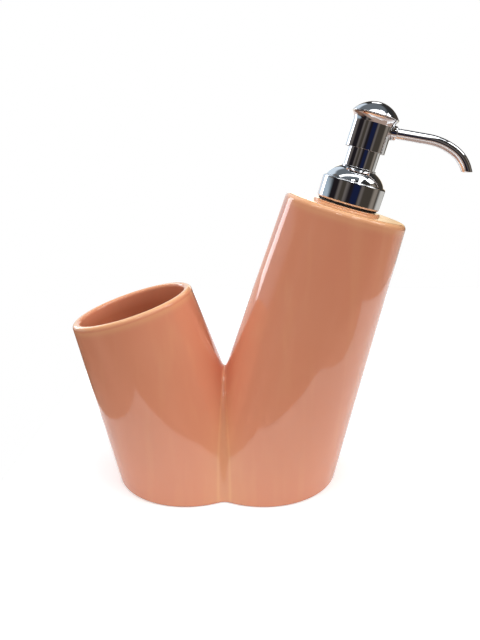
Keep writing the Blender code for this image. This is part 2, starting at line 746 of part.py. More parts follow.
def make_spring(axis):
    """Return spring: one wire from the chamber's floor up to the spring seat."""
    bottom = chamber_floor + GAP + SPRING_WIRE
    top = spring_seat_bottom - GAP - SPRING_WIRE
    count = SPRING_TURNS * SPRING_POINTS
    wire = bpy.data.curves.new("return_spring", "CURVE")
    wire.dimensions = "3D"
    spline = wire.splines.new("POLY")
    spline.points.add(count)
    for i, point in enumerate(spline.points):
        turn = math.tau * i / SPRING_POINTS
        point.co = (SPRING_RADIUS * math.cos(turn), SPRING_RADIUS * math.sin(turn),
                    bottom + (top - bottom) * i / count, 1.0)
    wire.bevel_depth = SPRING_WIRE
    wire.bevel_resolution = 1
    wire.use_fill_caps = True
    add_piece("return_spring", wire, STEEL, axis)
    pitch = (top - bottom) / SPRING_TURNS
    print("return spring: least gap between turns", round(pitch - 2 * SPRING_WIRE, 5), "m")


def make_stem(axis):
    """Hollow stem with its port and, in its top, the outlet ball."""
    pocket_bottom = stem_top - STEM_POCKET_DEPTH
    seat_bottom = pocket_bottom - STEM_SEAT_HEIGHT
    stem = turned("stem", [(STEM_BORE, piston_bottom), (STEM_RADIUS, piston_bottom),
                           (STEM_RADIUS, stem_top), (STEM_POCKET, stem_top),
                           (STEM_POCKET, pocket_bottom), (STEM_BORE, seat_bottom)],
                  WHITE_PLASTIC, axis, STEM_STEPS)
    port_axis = add_axis("port_axis", (0.0, 0.0, spring_seat_top + SEAT_PIN_LENGTH + STEM_PORT
                                       + GAP), math.pi / 2, axis)
    cut(stem, rod_cutter("stem_port", STEM_PORT, -STEM_RADIUS - OVERRUN,
                         STEM_RADIUS + OVERRUN, port_axis, STEM_STEPS // 2))
    slope = math.atan2(STEM_SEAT_HEIGHT, STEM_POCKET - STEM_BORE)
    rest = (OUTLET_BALL_RADIUS + GAP - STEM_BORE * math.sin(slope)) / math.cos(slope)
    make_ball("outlet_ball", OUTLET_BALL_RADIUS, seat_bottom + rest, axis)


def make_head(axis, spout_axis):
    """Core, barrel and cap of the pump head."""
    channel_top = spout_root + CHANNEL_RADIUS
    core = turned("head_core", [(stem_guide_bore, core_bottom), (core_tube_radius, core_bottom),
                                (core_tube_radius, block_bottom), (core_radius, block_bottom),
                                (core_radius, core_top), (0.0, core_top), (0.0, channel_top),
                                (CHANNEL_RADIUS, channel_top), (CHANNEL_RADIUS, channel_bottom),
                                (stem_guide_bore, channel_bottom)],
                  WHITE_PLASTIC, axis)
    socket_start = core_radius - SPOUT_SOCKET
    cut(core, rod_cutter("spout_socket", spout_hole, socket_start,
                         core_radius + OVERRUN, spout_axis))
    cut(core, rod_cutter("spout_channel", CHANNEL_RADIUS - GAP, GAP,
                         socket_start + GAP, spout_axis, STEM_STEPS // 2))
    flare = bezier((FLARE_RADIUS, flare_top), (FLARE_RADIUS - BARREL_WALL, flare_top - BARREL_WALL),
                   (BARREL_RADIUS, flare_bottom + FLARE_PULL_SHARE * FLARE_HEIGHT),
                   (BARREL_RADIUS, flare_bottom), FLARE_ROWS)
    outline = flare + [(BARREL_RADIUS, barrel_bottom + BARREL_EDGE),
                       (BARREL_RADIUS - BARREL_EDGE, barrel_bottom), (barrel_bore, barrel_bottom),
                       (barrel_bore, flare_bottom), (FLARE_RADIUS - BARREL_WALL, flare_top)]
    barrel = turned("head_barrel", outline, CHROME, axis, SHOWN_STEPS)
    cut(barrel, rod_cutter("barrel_hole", spout_hole, core_radius / 2,
                           BARREL_RADIUS + OVERRUN, spout_axis))
    rim_top = cap_bottom + CAP_RIM
    dome_top = rim_top + DOME_HEIGHT
    half_width = CAP_RADIUS - CAP_EDGE
    bow = (half_width ** 2 + DOME_HEIGHT ** 2) / (2 * DOME_HEIGHT)
    spread = math.asin(half_width / bow)
    turns = [spread * i / DOME_ROWS for i in range(DOME_ROWS + 1)]
    dome = [(bow * math.sin(turn), dome_top - bow * (1 - math.cos(turn))) for turn in turns]
    turned("head_cap", dome + [(CAP_RADIUS, rim_top - CAP_EDGE),
                               (CAP_RADIUS, cap_bottom + CAP_EDGE),
                               (CAP_RADIUS - CAP_EDGE, cap_bottom), (CAP_BOSS_RADIUS, cap_bottom),
                               (CAP_BOSS_RADIUS, cap_bottom - CAP_BOSS),
                               (0.0, cap_bottom - CAP_BOSS)],
           CHROME, axis, SHOWN_STEPS)


def spout_path(start, overrun):
    """Centre line of the spout in the plane of the legs, and its tip before the overrun."""
    points = []
    place = Vector((0.0, 0.0, spout_root))
    heading = SPOUT_RISE
    place += start * Vector((math.cos(heading), 0.0, math.sin(heading)))
    points.append(place.copy())
    place += (SPOUT_STRAIGHT - start) * Vector((math.cos(heading), 0.0, math.sin(heading)))
    points.append(place.copy())
    for radius, bend in ((SPOUT_EASY_BEND_RADIUS, SPOUT_EASY_BEND),
                         (SPOUT_TIP_BEND_RADIUS, SPOUT_TIP_BEND)):
        step = bend / SPOUT_BEND_POINTS
        chord = 2 * radius * math.sin(step / 2)
        for _ in range(SPOUT_BEND_POINTS):
            middle = heading - step / 2
            place += chord * Vector((math.cos(middle), 0.0, math.sin(middle)))
            heading -= step
            points.append(place.copy())
    tip = place.copy()
    points.append(tip + overrun * Vector((math.cos(heading), 0.0, math.sin(heading))))
    return points, tip


def tube_mesh(name, points, radius):
    """Closed mesh of a round tube along points."""
    curve = bpy.data.curves.new(name, "CURVE")
    curve.dimensions = "3D"
    spline = curve.splines.new("POLY")
    spline.points.add(len(points) - 1)
    for target, point in zip(spline.points, points):
        target.co = (*point, 1.0)
    curve.bevel_depth = radius
    curve.bevel_resolution = SPOUT_RINGS
    curve.use_fill_caps = True
    path = bpy.data.objects.new(name + "_path", curve)
    bpy.context.scene.collection.objects.link(path)
    evaluated = path.evaluated_get(bpy.context.evaluated_depsgraph_get())
    mesh = bpy.data.meshes.new_from_object(evaluated)
    bpy.data.objects.remove(path)
    form = bmesh.new()
    form.from_mesh(mesh)
    bmesh.ops.remove_doubles(form, verts=form.verts, dist=MERGE)
    form.to_mesh(mesh)
    form.free()
    mesh.name = name
    return mesh


def make_spout(axis, spout_axis):
    """Bent spout with its bore, its level tip and the ferrule at its root."""
    start = core_radius - SPOUT_SOCKET + GAP
    points, tip = spout_path(start, SPOUT_TIP_SPARE)
    spout = add_piece("spout", tube_mesh("spout", points, SPOUT_RADIUS), CHROME, axis)
    spout.data.shade_smooth()
    bore_points, _ = spout_path(start - OVERRUN, SPOUT_TIP_SPARE + OVERRUN)
    cut(spout, add_cutter("spout_bore", tube_mesh("spout_bore", bore_points,
                                                  SPOUT_RADIUS - SPOUT_WALL), axis))
    form = bmesh.new()
    bmesh.ops.create_cube(form, size=2 * SPOUT_TIP_SPARE)
    mesh = bpy.data.meshes.new("spout_tip_cut")
    form.to_mesh(mesh)
    form.free()
    block = add_cutter("spout_tip_cut", mesh, axis)
    block.rotation_euler = (0.0, -LEAN, 0.0)
    block.location = tip - SPOUT_TIP_SPARE * Vector((-math.sin(LEAN), 0.0, math.cos(LEAN)))
    cut(spout, block)
    face = BARREL_RADIUS - FERRULE_EDGE
    end = BARREL_RADIUS + FERRULE_LENGTH
    ferrule = turned("spout_ferrule", [(spout_hole, face), (FERRULE_RADIUS, face),
                                       (FERRULE_RADIUS, end - FERRULE_EDGE),
                                       (FERRULE_RADIUS - FERRULE_EDGE, end), (spout_hole, end)],
                     CHROME, spout_axis, HIDDEN_STEPS)
    cut(ferrule, rod_cutter("barrel_room", BARREL_RADIUS + GAP, barrel_bottom,
                            flare_bottom + FLARE_HEIGHT, axis, SHOWN_STEPS))


def main():
    """Build the body, then the pump on its axis at the middle of the tank's top."""
    make_ceramic_body()
    neck_axis = add_axis("neck_axis", tank.centre(TANK_LENGTH), LEAN)
    make_neck(neck_axis)
    pump_axis = add_axis("pump_axis", (0.0, 0.0, 0.0), 0.0, neck_axis)
    make_chamber(pump_axis)
    make_spring(pump_axis)
    make_collar(add_axis("collar_axis", (0.0, 0.0, 0.0), 0.0, pump_axis))
    plunger_axis = add_axis("plunger_axis", (0.0, 0.0, 0.0), 0.0, pump_axis)
    make_plunger(plunger_axis)
    head_axis = add_axis("head_axis", (0.0, 0.0, 0.0), 0.0, plunger_axis)
    make_stem(head_axis)
    spout_axis = add_axis("spout_axis", (0.0, 0.0, spout_root), math.pi / 2 - SPOUT_RISE,
                          head_axis)
    make_head(head_axis, spout_axis)
    make_spout(head_axis, spout_axis)


main()
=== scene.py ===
"""Soap dispenser with a toothbrush cup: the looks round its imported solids.

Two leaning ceramic legs grow out of one foot. The left leg is an open cup, the right one
is the soap tank, and a polished lotion pump stands on the tank. Each sub-assembly is a
class that holds its sizes, builds its pieces finely and dresses them. Lengths are in
metres, +Z is up and the spout points to +X.
"""

from __future__ import annotations

import json
import logging
import math
from abc import ABC, abstractmethod
from collections.abc import Callable, Sequence
from dataclasses import dataclass, field
from enum import Enum

import bmesh
import bpy
import numpy as np
from mathutils import Matrix, Vector

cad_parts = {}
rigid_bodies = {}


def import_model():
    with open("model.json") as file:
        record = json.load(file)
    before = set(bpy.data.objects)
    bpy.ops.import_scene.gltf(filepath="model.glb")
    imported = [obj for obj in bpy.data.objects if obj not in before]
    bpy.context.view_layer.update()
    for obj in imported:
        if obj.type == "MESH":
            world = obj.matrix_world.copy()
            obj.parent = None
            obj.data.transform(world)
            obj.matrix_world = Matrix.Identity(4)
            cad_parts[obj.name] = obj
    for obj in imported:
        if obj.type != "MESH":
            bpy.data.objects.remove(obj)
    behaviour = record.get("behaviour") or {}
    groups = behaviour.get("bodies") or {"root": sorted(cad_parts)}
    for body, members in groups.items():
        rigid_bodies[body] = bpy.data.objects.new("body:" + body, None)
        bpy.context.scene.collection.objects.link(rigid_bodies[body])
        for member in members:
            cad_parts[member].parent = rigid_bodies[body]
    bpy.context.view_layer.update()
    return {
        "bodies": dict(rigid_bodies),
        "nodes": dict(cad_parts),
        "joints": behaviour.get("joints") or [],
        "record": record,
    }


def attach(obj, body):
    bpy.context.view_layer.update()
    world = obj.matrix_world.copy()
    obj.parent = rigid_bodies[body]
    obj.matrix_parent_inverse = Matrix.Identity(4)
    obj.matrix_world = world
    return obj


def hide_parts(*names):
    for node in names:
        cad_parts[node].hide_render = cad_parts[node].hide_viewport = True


log = logging.getLogger("soap_dispenser")

Colour = tuple[float, float, float]
Point = tuple[float, float, float]
Span = tuple[float, float, float, float]
Fed = float | Colour | bpy.types.NodeSocket
Profile = list[tuple[float, float]]
Field = Callable[[np.ndarray], np.ndarray]

HALVINGS = 34
NEARLY_ZERO = 1e-9
MERGE_DISTANCE = 0.000004


class Body(str, Enum):
    """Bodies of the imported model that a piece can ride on."""

    BOTTLE = "bottle"
    PUMP = "pump"
    COLLAR = "collar"
    HEAD = "head"


class Slot(str, Enum):
    """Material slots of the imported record."""

    GLAZE = "glaze"
    CHROME = "chrome"
    STEEL = "steel"
    WHITE_PLASTIC = "white_plastic"
    CLEAR_PLASTIC = "clear_plastic"
    BLACK_RUBBER = "black_rubber"


class Mark(str, Enum):
    """Marks on the body's mesh that tell what the glaze does there and where light and shade are
    painted.
    """

    # Paler where the glaze runs thin, and painted light on the top face, the crease and the tank's
    # top edge.
    THIN = "thin_glaze"
    # Unglazed clay on the foot, darkened as a painted contact shadow along its edge.
    BARE_WITH_PAINTED_SHADOW = "bare_clay"
    # Painted shade inside the cup and the tank.
    INNER_SHADE = "inner_glaze"


def paint(red: int, green: int, blue: int) -> Colour:
    """Turn a colour written as 0 to 255 into the linear values that shaders take.

    Args:
        red: Red share as a paint chart gives it.
        green: Green share.
        blue: Blue share.

    Returns:
        The linear colour.
    """
    linear = []
    for share in (red / 255, green / 255, blue / 255):
        linear.append(share / 12.92 if share <= 0.04045 else ((share + 0.055) / 1.055) ** 2.4)
    return (linear[0], linear[1], linear[2])


# Finishes


@dataclass(frozen=True)
class Grain:
    """A noise pattern: width of a patch in metres, finer levels and stretch along the axes."""

    size: float
    detail: float = 3.0
    rough: float = 0.5
    stretch: Point = (1.0, 1.0, 1.0)


class Mix(Enum):
    """What a mix node mixes: Blender's name of it, its two inputs and its output."""

    NUMBERS = ("FLOAT", 2, 3, 0)
    COLOURS = ("RGBA", 6, 7, 2)


class NodePlan:
    """A node tree while it is laid out."""

    def __init__(self, tree: bpy.types.NodeTree) -> None:
        """Take up Blender's node tree."""
        self.tree = tree

    def feed(self, socket: bpy.types.NodeSocket, value: Fed) -> None:
        """Give an input socket its value.

        Args:
            socket: The input socket.
            value: Number, colour or another node's output.
        """
        if isinstance(value, bpy.types.NodeSocket):
            self.tree.links.new(value, socket)
        else:
            socket.default_value = (*value, 1.0) if isinstance(value, tuple) else value

    def node(self, kind: str, inputs: dict[str | int, Fed] | None = None,
             **settings: object) -> bpy.types.Node:
        """Add a node.

        Args:
            kind: Blender's name of the node type.
            inputs: What its inputs get, by their names or numbers.
            **settings: Properties to set on it.

        Returns:
            The new node.
        """
        made = self.tree.nodes.new(kind)
        for key, setting in settings.items():
            setattr(made, key, setting)
        for key, value in (inputs or {}).items():
            self.feed(made.inputs[key], value)
        return made

    def math(self, operation: str, *terms: Fed) -> bpy.types.NodeSocket:
        """Output of a sum, by Blender's name of the operation, of numbers and outputs."""
        return self.node("ShaderNodeMath", dict(enumerate(terms)), operation=operation).outputs[0]

    def span(self, value: bpy.types.NodeSocket, start: float, end: float, low: float = 0.0,
             high: float = 1.0) -> bpy.types.NodeSocket:
        """Map a value from one span to another and hold it at the ends.

        Args:
            value: What to map.
            start: Value that maps to low.
            end: Value that maps to high.
            low: Result at the start.
            high: Result at the end.

        Returns:
            The mapped value's output.
        """
        inputs = {"Value": value, "From Min": start, "From Max": end, "To Min": low,
                  "To Max": high}
        return self.node("ShaderNodeMapRange", inputs).outputs["Result"]

    def mixed(self, share: Fed, first: Fed, second: Fed,
              mix: Mix = Mix.COLOURS) -> bpy.types.NodeSocket:
        """Mix two colours or two numbers.

        Args:
            share: Share of the second one.
            first: Colour or number, or the output that gives it.
            second: The same.
            mix: Whether they are colours or numbers.

        Returns:
            The mixed output.
        """
        kind, one, other, result = mix.value
        made = self.node("ShaderNodeMix", {0: share, one: first, other: second}, data_type=kind)
        return made.outputs[result]


class Recipe(NodePlan):
    """A material while it is laid out."""

    def __init__(self, name: str) -> None:
        """Start a material with a Principled shader.

        Args:
            name: Name of the material.
        """
        self.material = bpy.data.materials.new(name)
        self.material.use_nodes = True
        super().__init__(self.material.node_tree)
        self.shader = self.tree.nodes["Principled BSDF"]

    def shade(self, **values: Fed) -> None:
        """Feed the shader's own sockets, with _ for a space in a name."""
        for key, value in values.items():
            self.feed(self.shader.inputs[key.replace("_", " ")], value)

    def noise(self, grain: Grain) -> bpy.types.NodeSocket:
        """Add a noise.

        Args:
            grain: Its size and character.

        Returns:
            The noise's value output.
        """
        place = self.node("ShaderNodeTexCoord").outputs["Object"]
        mapping = self.node("ShaderNodeMapping", {"Vector": place})
        mapping.inputs["Scale"].default_value = grain.stretch
        inputs = {"Vector": mapping.outputs["Vector"], "Scale": 1.0 / grain.size,
                  "Detail": grain.detail, "Roughness": grain.rough}
        return self.node("ShaderNodeTexNoise", inputs).outputs["Fac"]

    def marked(self, mark: Mark) -> bpy.types.NodeSocket:
        """Give the value that the mesh carries under a mark."""
        return self.node("ShaderNodeAttribute", attribute_name=mark.value).outputs["Fac"]

    def bump(self, height: bpy.types.NodeSocket, depth: float, strength: float) -> None:
        """Raise the surface by an output, where 1 stands for a depth in metres."""
        inputs = {"Height": height, "Distance": depth, "Strength": strength}
        self.shade(Normal=self.node("ShaderNodeBump", inputs).outputs["Normal"])


class Finish(ABC):
    """A finish, from which each piece gets a material of its own."""

    def material(self, name: str) -> bpy.types.Material:
        """Make the finish's material.

        Args:
            name: Name of the material.

        Returns:
            The material.
        """
        recipe = Recipe(name)
        self.lay_out(recipe)
        return recipe.material

    @abstractmethod
    def lay_out(self, recipe: Recipe) -> None:
        """Lay the finish out in a new material."""


@dataclass(frozen=True)
class Glaze(Finish):
    """Glossy glaze that runs thin and paler over edges and stops above the foot, with painted
    light and shade: highlights on the crease and the tank's top edge, a paler top face, shade
    inside the legs and a contact shadow on the bare foot.
    """

    body: Colour = paint(229, 151, 117)
    deep: Colour = paint(228, 148, 114)
    # Paler colour of thin glaze, which also serves as painted light.
    thin_and_painted_light: Colour = paint(245, 190, 138)
    # Darker colour inside the legs, as painted shade.
    inner: Colour = paint(206, 126, 92)
    # Unglazed clay, darkened as a painted contact shadow.
    clay_with_painted_shadow: Colour = paint(150, 118, 92)
    cloud: Grain = Grain(0.045, 2.0)
    cloud_span: Span = (0.35, 0.65, 0.0, 1.0)
    speck: Grain = Grain(0.0009, 1.0)
    speck_span: Span = (0.70, 0.80, 0.0, 0.35)
    run: Grain = Grain(0.0075, 2.0, stretch=(1.0, 1.0, 0.07))
    run_span: Span = (0.52, 0.72, 0.0, 0.11)
    haze: Grain = Grain(0.018)
    roughness_span: Span = (0.3, 0.7, 0.05, 0.10)
    clay_roughness: float = 0.85
    wave: Grain = Grain(0.007, 2.0, 0.4)
    wave_depth: float = 0.00006
    wave_strength: float = 0.6
    refraction: float = 1.52
    coat: float = 0.25
    coat_roughness: float = 0.03

    def lay_out(self, recipe: Recipe) -> None:
        """Lay out the glaze, which reads the marks of the body's mesh.

        Args:
            recipe: The new material.
        """
        cloud = recipe.span(recipe.noise(self.cloud), *self.cloud_span)
        coloured = recipe.mixed(cloud, self.deep, self.body)
        speck = recipe.span(recipe.noise(self.speck), *self.speck_span)
        coloured = recipe.mixed(speck, coloured, self.deep)
        run = recipe.span(recipe.noise(self.run), *self.run_span)
        coloured = recipe.mixed(run, coloured, self.thin_and_painted_light)
        # Painted shade on the walls inside the legs.
        coloured = recipe.mixed(recipe.marked(Mark.INNER_SHADE), coloured, self.inner)
        # Paler colour where the glaze runs thin, and painted light: highlights on the crease and
        # the tank's edge, and a lighter top face.
        coloured = recipe.mixed(recipe.marked(Mark.THIN), coloured, self.thin_and_painted_light)
        # Bare clay on the foot, darkened as a painted contact shadow.
        bare_with_painted_shadow = recipe.marked(Mark.BARE_WITH_PAINTED_SHADOW)
        haze = recipe.span(recipe.noise(self.haze), *self.roughness_span)
        recipe.shade(Base_Color=recipe.mixed(bare_with_painted_shadow, coloured, self.clay_with_painted_shadow),
                     Roughness=recipe.mixed(bare_with_painted_shadow, haze, self.clay_roughness, Mix.NUMBERS),
                     IOR=self.refraction, Coat_Weight=self.coat,
                     Coat_Roughness=self.coat_roughness)
        recipe.bump(recipe.noise(self.wave), self.wave_depth, self.wave_strength)


@dataclass(frozen=True)
class Plating(Finish):
    """Mirror-polished plating with the faint waves and haze of buffing."""

    tint: Colour = (0.80, 0.81, 0.83)
    dimming: float = 0.93
    haze: Grain = Grain(0.006, 4.0)
    haze_span: Span = (0.3, 0.75, 0.0, 1.0)
    roughness_span: Span = (0.0, 1.0, 0.03, 0.075)
    wave: Grain = Grain(0.004, 2.0, 0.4)
    wave_depth: float = 0.00002
    wave_strength: float = 0.35

    def lay_out(self, recipe: Recipe) -> None:
        """Lay out the plating.

        Args:
            recipe: The new material.
        """
        haze = recipe.span(recipe.noise(self.haze), *self.haze_span)
        darker = tuple(self.dimming * share for share in self.tint)
        recipe.shade(Metallic=1.0, Base_Color=recipe.mixed(haze, self.tint, darker),
                     Roughness=recipe.span(haze, *self.roughness_span))
        recipe.bump(recipe.noise(self.wave), self.wave_depth, self.wave_strength)


@dataclass(frozen=True)
class DrawnSteel(Finish):
    """Bright steel of wire and valve balls, with fine drawing lines."""

    tint: Colour = (0.60, 0.60, 0.59)
    dimming: float = 0.75
    lines: Grain = Grain(0.0004, 3.0, 0.6, (1.0, 1.0, 0.15))
    line_depth: float = 0.00001
    line_strength: float = 0.4
    roughness_span: Span = (0.2, 0.8, 0.18, 0.36)

    def lay_out(self, recipe: Recipe) -> None:
        """Lay out the steel.

        Args:
            recipe: The new material.
        """
        lines = recipe.noise(self.lines)
        darker = tuple(self.dimming * share for share in self.tint)
        recipe.shade(Metallic=1.0, Base_Color=recipe.mixed(lines, self.tint, darker),
                     Roughness=recipe.span(lines, *self.roughness_span))
        recipe.bump(lines, self.line_depth, self.line_strength)


@dataclass(frozen=True)
class Moulded(Finish):
    """Moulded plastic with a faint skin texture, opaque or milky."""

    tint: Colour
    shade: Colour
    roughness: float
    clearness: float = 0.0
    uneven: float = 0.06
    flow: Grain = Grain(0.008)
    patches: Grain = Grain(0.002, 2.0)
    patch_span: tuple[float, float] = (0.3, 0.7)
    skin: Grain = Grain(0.0005, 2.0)
    skin_depth: float = 0.00001
    skin_strength: float = 0.5
    refraction: float = 1.49

    def lay_out(self, recipe: Recipe) -> None:
        """Lay out the plastic.

        Args:
            recipe: The new material.
        """
        flow = recipe.span(recipe.noise(self.flow), *self.patch_span)
        patches = recipe.span(recipe.noise(self.patches), *self.patch_span,
                              self.roughness - self.uneven, self.roughness + self.uneven)
        recipe.shade(Base_Color=recipe.mixed(flow, self.tint, self.shade), Roughness=patches,
                     IOR=self.refraction, Transmission_Weight=self.clearness)
        recipe.bump(recipe.noise(self.skin), self.skin_depth, self.skin_strength)


@dataclass(frozen=True)
class SoftSeal(Finish):
    """Black rubber, matt with a slight bloom."""

    tint: Colour = (0.012, 0.012, 0.013)
    bloom: Colour = (0.05, 0.05, 0.052)
    patches: Grain = Grain(0.003)
    patch_span: Span = (0.4, 0.8, 0.0, 1.0)
    roughness_span: Span = (0.0, 1.0, 0.55, 0.8)
    skin: Grain = Grain(0.0004, 2.0)
    skin_depth: float = 0.00002
    skin_strength: float = 0.6

    def lay_out(self, recipe: Recipe) -> None:
        """Lay out the rubber.

        Args:
            recipe: The new material.
        """
        patches = recipe.span(recipe.noise(self.patches), *self.patch_span)
        recipe.shade(Base_Color=recipe.mixed(patches, self.tint, self.bloom),
                     Roughness=recipe.span(patches, *self.roughness_span))
        recipe.bump(recipe.noise(self.skin), self.skin_depth, self.skin_strength)


GLAZE = Glaze()
PLATING = Plating()
STEEL = DrawnSteel()
WHITE_PLASTIC = Moulded((0.80, 0.80, 0.77), (0.74, 0.74, 0.70), 0.38)
MILKY_PLASTIC = Moulded((0.80, 0.82, 0.82), (0.72, 0.76, 0.77), 0.28, 0.45)
RUBBER = SoftSeal()


# Meshes


def show_form(form: bmesh.types.BMesh, mesh: bpy.types.Mesh, crisp: float) -> bpy.types.Object:
    """Make a form a smooth-shaded object whose sharper edges stay crisp.

    Args:
        form: The form, which is used up.
        mesh: Mesh that takes it and gives the object its name.
        crisp: Angle in degrees above which an edge is not smoothed.

    Returns:
        The new object, linked to the scene.
    """
    bmesh.ops.recalc_face_normals(form, faces=form.faces)
    form.to_mesh(mesh)
    form.free()
    mesh.shade_smooth()
    mesh.set_sharp_from_angle(angle=math.radians(crisp))
    piece = bpy.data.objects.new(mesh.name, mesh)
    bpy.context.scene.collection.objects.link(piece)
    return piece


def add_piece(name: str, points: Sequence[Sequence[float]], faces: Sequence[Sequence[int]],
              crisp: float = 35.0) -> bpy.types.Object:
    """Make an object of points and faces.

    Args:
        name: Name of the piece.
        points: Corners in the model's frame.
        faces: Corner numbers of each face.
        crisp: Angle in degrees above which an edge is not smoothed.

    Returns:
        The new object, linked to the scene.
    """
    mesh = bpy.data.meshes.new(name)
    mesh.from_pydata([tuple(map(float, point)) for point in points], [], list(faces))
    form = bmesh.new()
    form.from_mesh(mesh)
    return show_form(form, mesh, crisp)


def cut_away(piece: bpy.types.Object, tool: bpy.types.Object) -> None:
    """Cut a closed form out of a piece.

    Args:
        piece: The piece, which gets a new mesh.
        tool: The form, which is removed afterwards.
    """
    cutting = piece.modifiers.new("cut", "BOOLEAN")
    cutting.operation = "DIFFERENCE"
    cutting.solver = "EXACT"
    cutting.object = tool
    graph = bpy.context.evaluated_depsgraph_get()
    result = bpy.data.meshes.new_from_object(piece.evaluated_get(graph))
    piece.modifiers.remove(cutting)
    piece.data = result
    bpy.data.objects.remove(tool)


def dress(piece: bpy.types.Object, material: bpy.types.Material, body: Body, slot: Slot,
          *nodes: str) -> None:
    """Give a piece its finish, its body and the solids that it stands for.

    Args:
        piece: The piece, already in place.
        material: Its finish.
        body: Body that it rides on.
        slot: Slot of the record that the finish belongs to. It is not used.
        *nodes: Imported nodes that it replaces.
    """
    piece.data.materials.clear()
    piece.data.materials.append(material)
    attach(piece, body.value)
    if nodes:
        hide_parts(*nodes)
    log.info("%s rides on %s and replaces %s", piece.name, body.value, ", ".join(nodes) or "none")


def held(profile: Profile, closed: bool, hold: float = 0.00012, least: float = 0.0009) -> Profile:
    """Add a point close to each end of the long straight runs, so that they shade flat.

    Args:
        profile: Points of (radius, height).
        closed: Whether the last point joins the first.
        hold: Distance of the new points from the ends.
        least: Length from which a run counts as long.

    Returns:
        The longer profile.
    """
    result: Profile = []
    count = len(profile)
    for i, (r0, h0) in enumerate(profile):
        result.append((r0, h0))
        if i == count - 1 and not closed:
            break
        r1, h1 = profile[(i + 1) % count]
        run = math.hypot(r1 - r0, h1 - h0)
        if run > least:
            share = hold / run
            for part in (share, 1 - share):
                result.append((r0 + (r1 - r0) * part, h0 + (h1 - h0) * part))
    return result


def turned(name: str, profile: Profile, frame: Matrix, steps: int = 144) -> bpy.types.Object:
    """Turn a profile about a frame's Z.

    Args:
        name: Name of the piece.
        profile: Points of (radius, height). It is closed, unless it starts and ends on
            the axis.
        frame: Placement of the axis.
        steps: Faces round the piece.

    Returns:
        The turned piece.
    """
    solid = profile[0][0] == 0.0
    line = held(profile, closed=not solid)
    points: list[Vector] = []
    rows: list[list[int]] = []
    for radius, height in line:
        if radius == 0.0:
            rows.append([len(points)] * steps)
            points.append(frame @ Vector((0.0, 0.0, height)))
            continue
        rows.append(list(range(len(points), len(points) + steps)))
        for i in range(steps):
            turn = math.tau * i / steps
            points.append(frame @ Vector((radius * math.cos(turn), radius * math.sin(turn),
                                          height)))
    faces: list[tuple[int, ...]] = []
    pairs = list(zip(rows, rows[1:]))
    if not solid:
        pairs.append((rows[-1], rows[0]))
    for low, high in pairs:
        for i in range(steps):
            j = (i + 1) % steps
            corners = (low[i], low[j], high[j], high[i])
            faces.append(tuple(dict.fromkeys(corners)))
    return add_piece(name, points, faces)


def post(name: str, radius: float, ends: tuple[float, float], frame: Matrix,
         steps: int) -> bpy.types.Object:
    """Make a plain cylinder on a frame's Z, between the heights of its two ends."""
    low, high = ends
    return turned(name, [(0.0, low), (radius, low), (radius, high), (0.0, high)], frame, steps)


def rounding(steps: int, turn: float = math.pi / 2) -> list[tuple[float, float]]:
    """Sines and cosines at even steps from 0 to a turn, both ends included."""
    return [(math.sin(turn * i / steps), math.cos(turn * i / steps)) for i in range(steps + 1)]


def arc(radius: float, height: float, edge: float, start: float, end: float,
        count: int) -> Profile:
    """Arc of radius edge about a point, between angles in degrees: 0 outwards, 90 upwards."""
    turns = [math.radians(start + (end - start) * i / count) for i in range(count + 1)]
    return [(radius + edge * math.cos(turn), height + edge * math.sin(turn)) for turn in turns]


def swept(corners: Sequence[tuple[float, float]], count: int) -> Profile:
    """Points along a cubic curve.

    Args:
        corners: Start, two pulls and end.
        count: Steps along it.

    Returns:
        The points, both ends included.
    """
    line: Profile = []
    for i in range(count + 1):
        t = i / count
        shares = ((1 - t) ** 3, 3 * t * (1 - t) ** 2, 3 * t * t * (1 - t), t ** 3)
        line.append((sum(s * c[0] for s, c in zip(shares, corners)),
                     sum(s * c[1] for s, c in zip(shares, corners))))
    return line


# Ceramic body


@dataclass(frozen=True)
class Leg:
    """A leaning, tapered ceramic leg, with side -1 for the cup and 1 for the tank."""

    side: int
    length: float
    top_radius: float
    lean: float = math.radians(15.9)
    foot_offset: float = 0.0217
    foot_radius: float = 0.0413

    @property
    def foot(self) -> np.ndarray:
        """Middle of the leg on the floor."""
        return np.array([self.side * self.foot_offset, 0.0, 0.0])

    @property
    def axis(self) -> np.ndarray:
        """Direction of the leg, upwards."""
        return np.array([self.side * math.sin(self.lean), 0.0, math.cos(self.lean)])

    def centre(self, station: float) -> np.ndarray:
        """Point on the axis at a distance from the floor."""
        return self.foot + station * self.axis

    def stations(self, points: np.ndarray) -> np.ndarray:
        """Distances of points along the axis."""
        return (points - self.foot) @ self.axis

    def off_axis(self, points: np.ndarray) -> np.ndarray:
        """Distances of points from the axis."""
        along = np.outer(self.stations(points), self.axis)
        return np.linalg.norm(points - self.foot - along, axis=1)

    def skin(self, points: np.ndarray) -> np.ndarray:
        """How far points lie outside the leg's tapered surface."""
        shrink = (self.foot_radius - self.top_radius) / self.length * self.stations(points)
        return self.off_axis(points) - (self.foot_radius - shrink)

    def station_at(self, height: float) -> float:
        """Distance along the axis at which it reaches a height."""
        return height / math.cos(self.lean)


def soft_least(a: np.ndarray, b: np.ndarray, blend: float) -> np.ndarray:
    """Smaller of two values, run together over a blend."""
    near = np.maximum(blend - np.abs(a - b), 0.0) / blend
    return np.minimum(a, b) - near * near * blend / 4


def set_in(outside: Field, inset: float) -> Field:
    """Field of a form whose surface is set in by an amount."""
    return lambda points: outside(points) + inset


@dataclass
class Row:
    """One row of points round a leg, with what the glaze does there and the light and shade
    painted there.
    """

    points: np.ndarray
    thin_and_painted_light: float | np.ndarray = 0.0
    bare_with_painted_shadow: float = 0.0
    inner: float = 0.0
    looped: bool = False


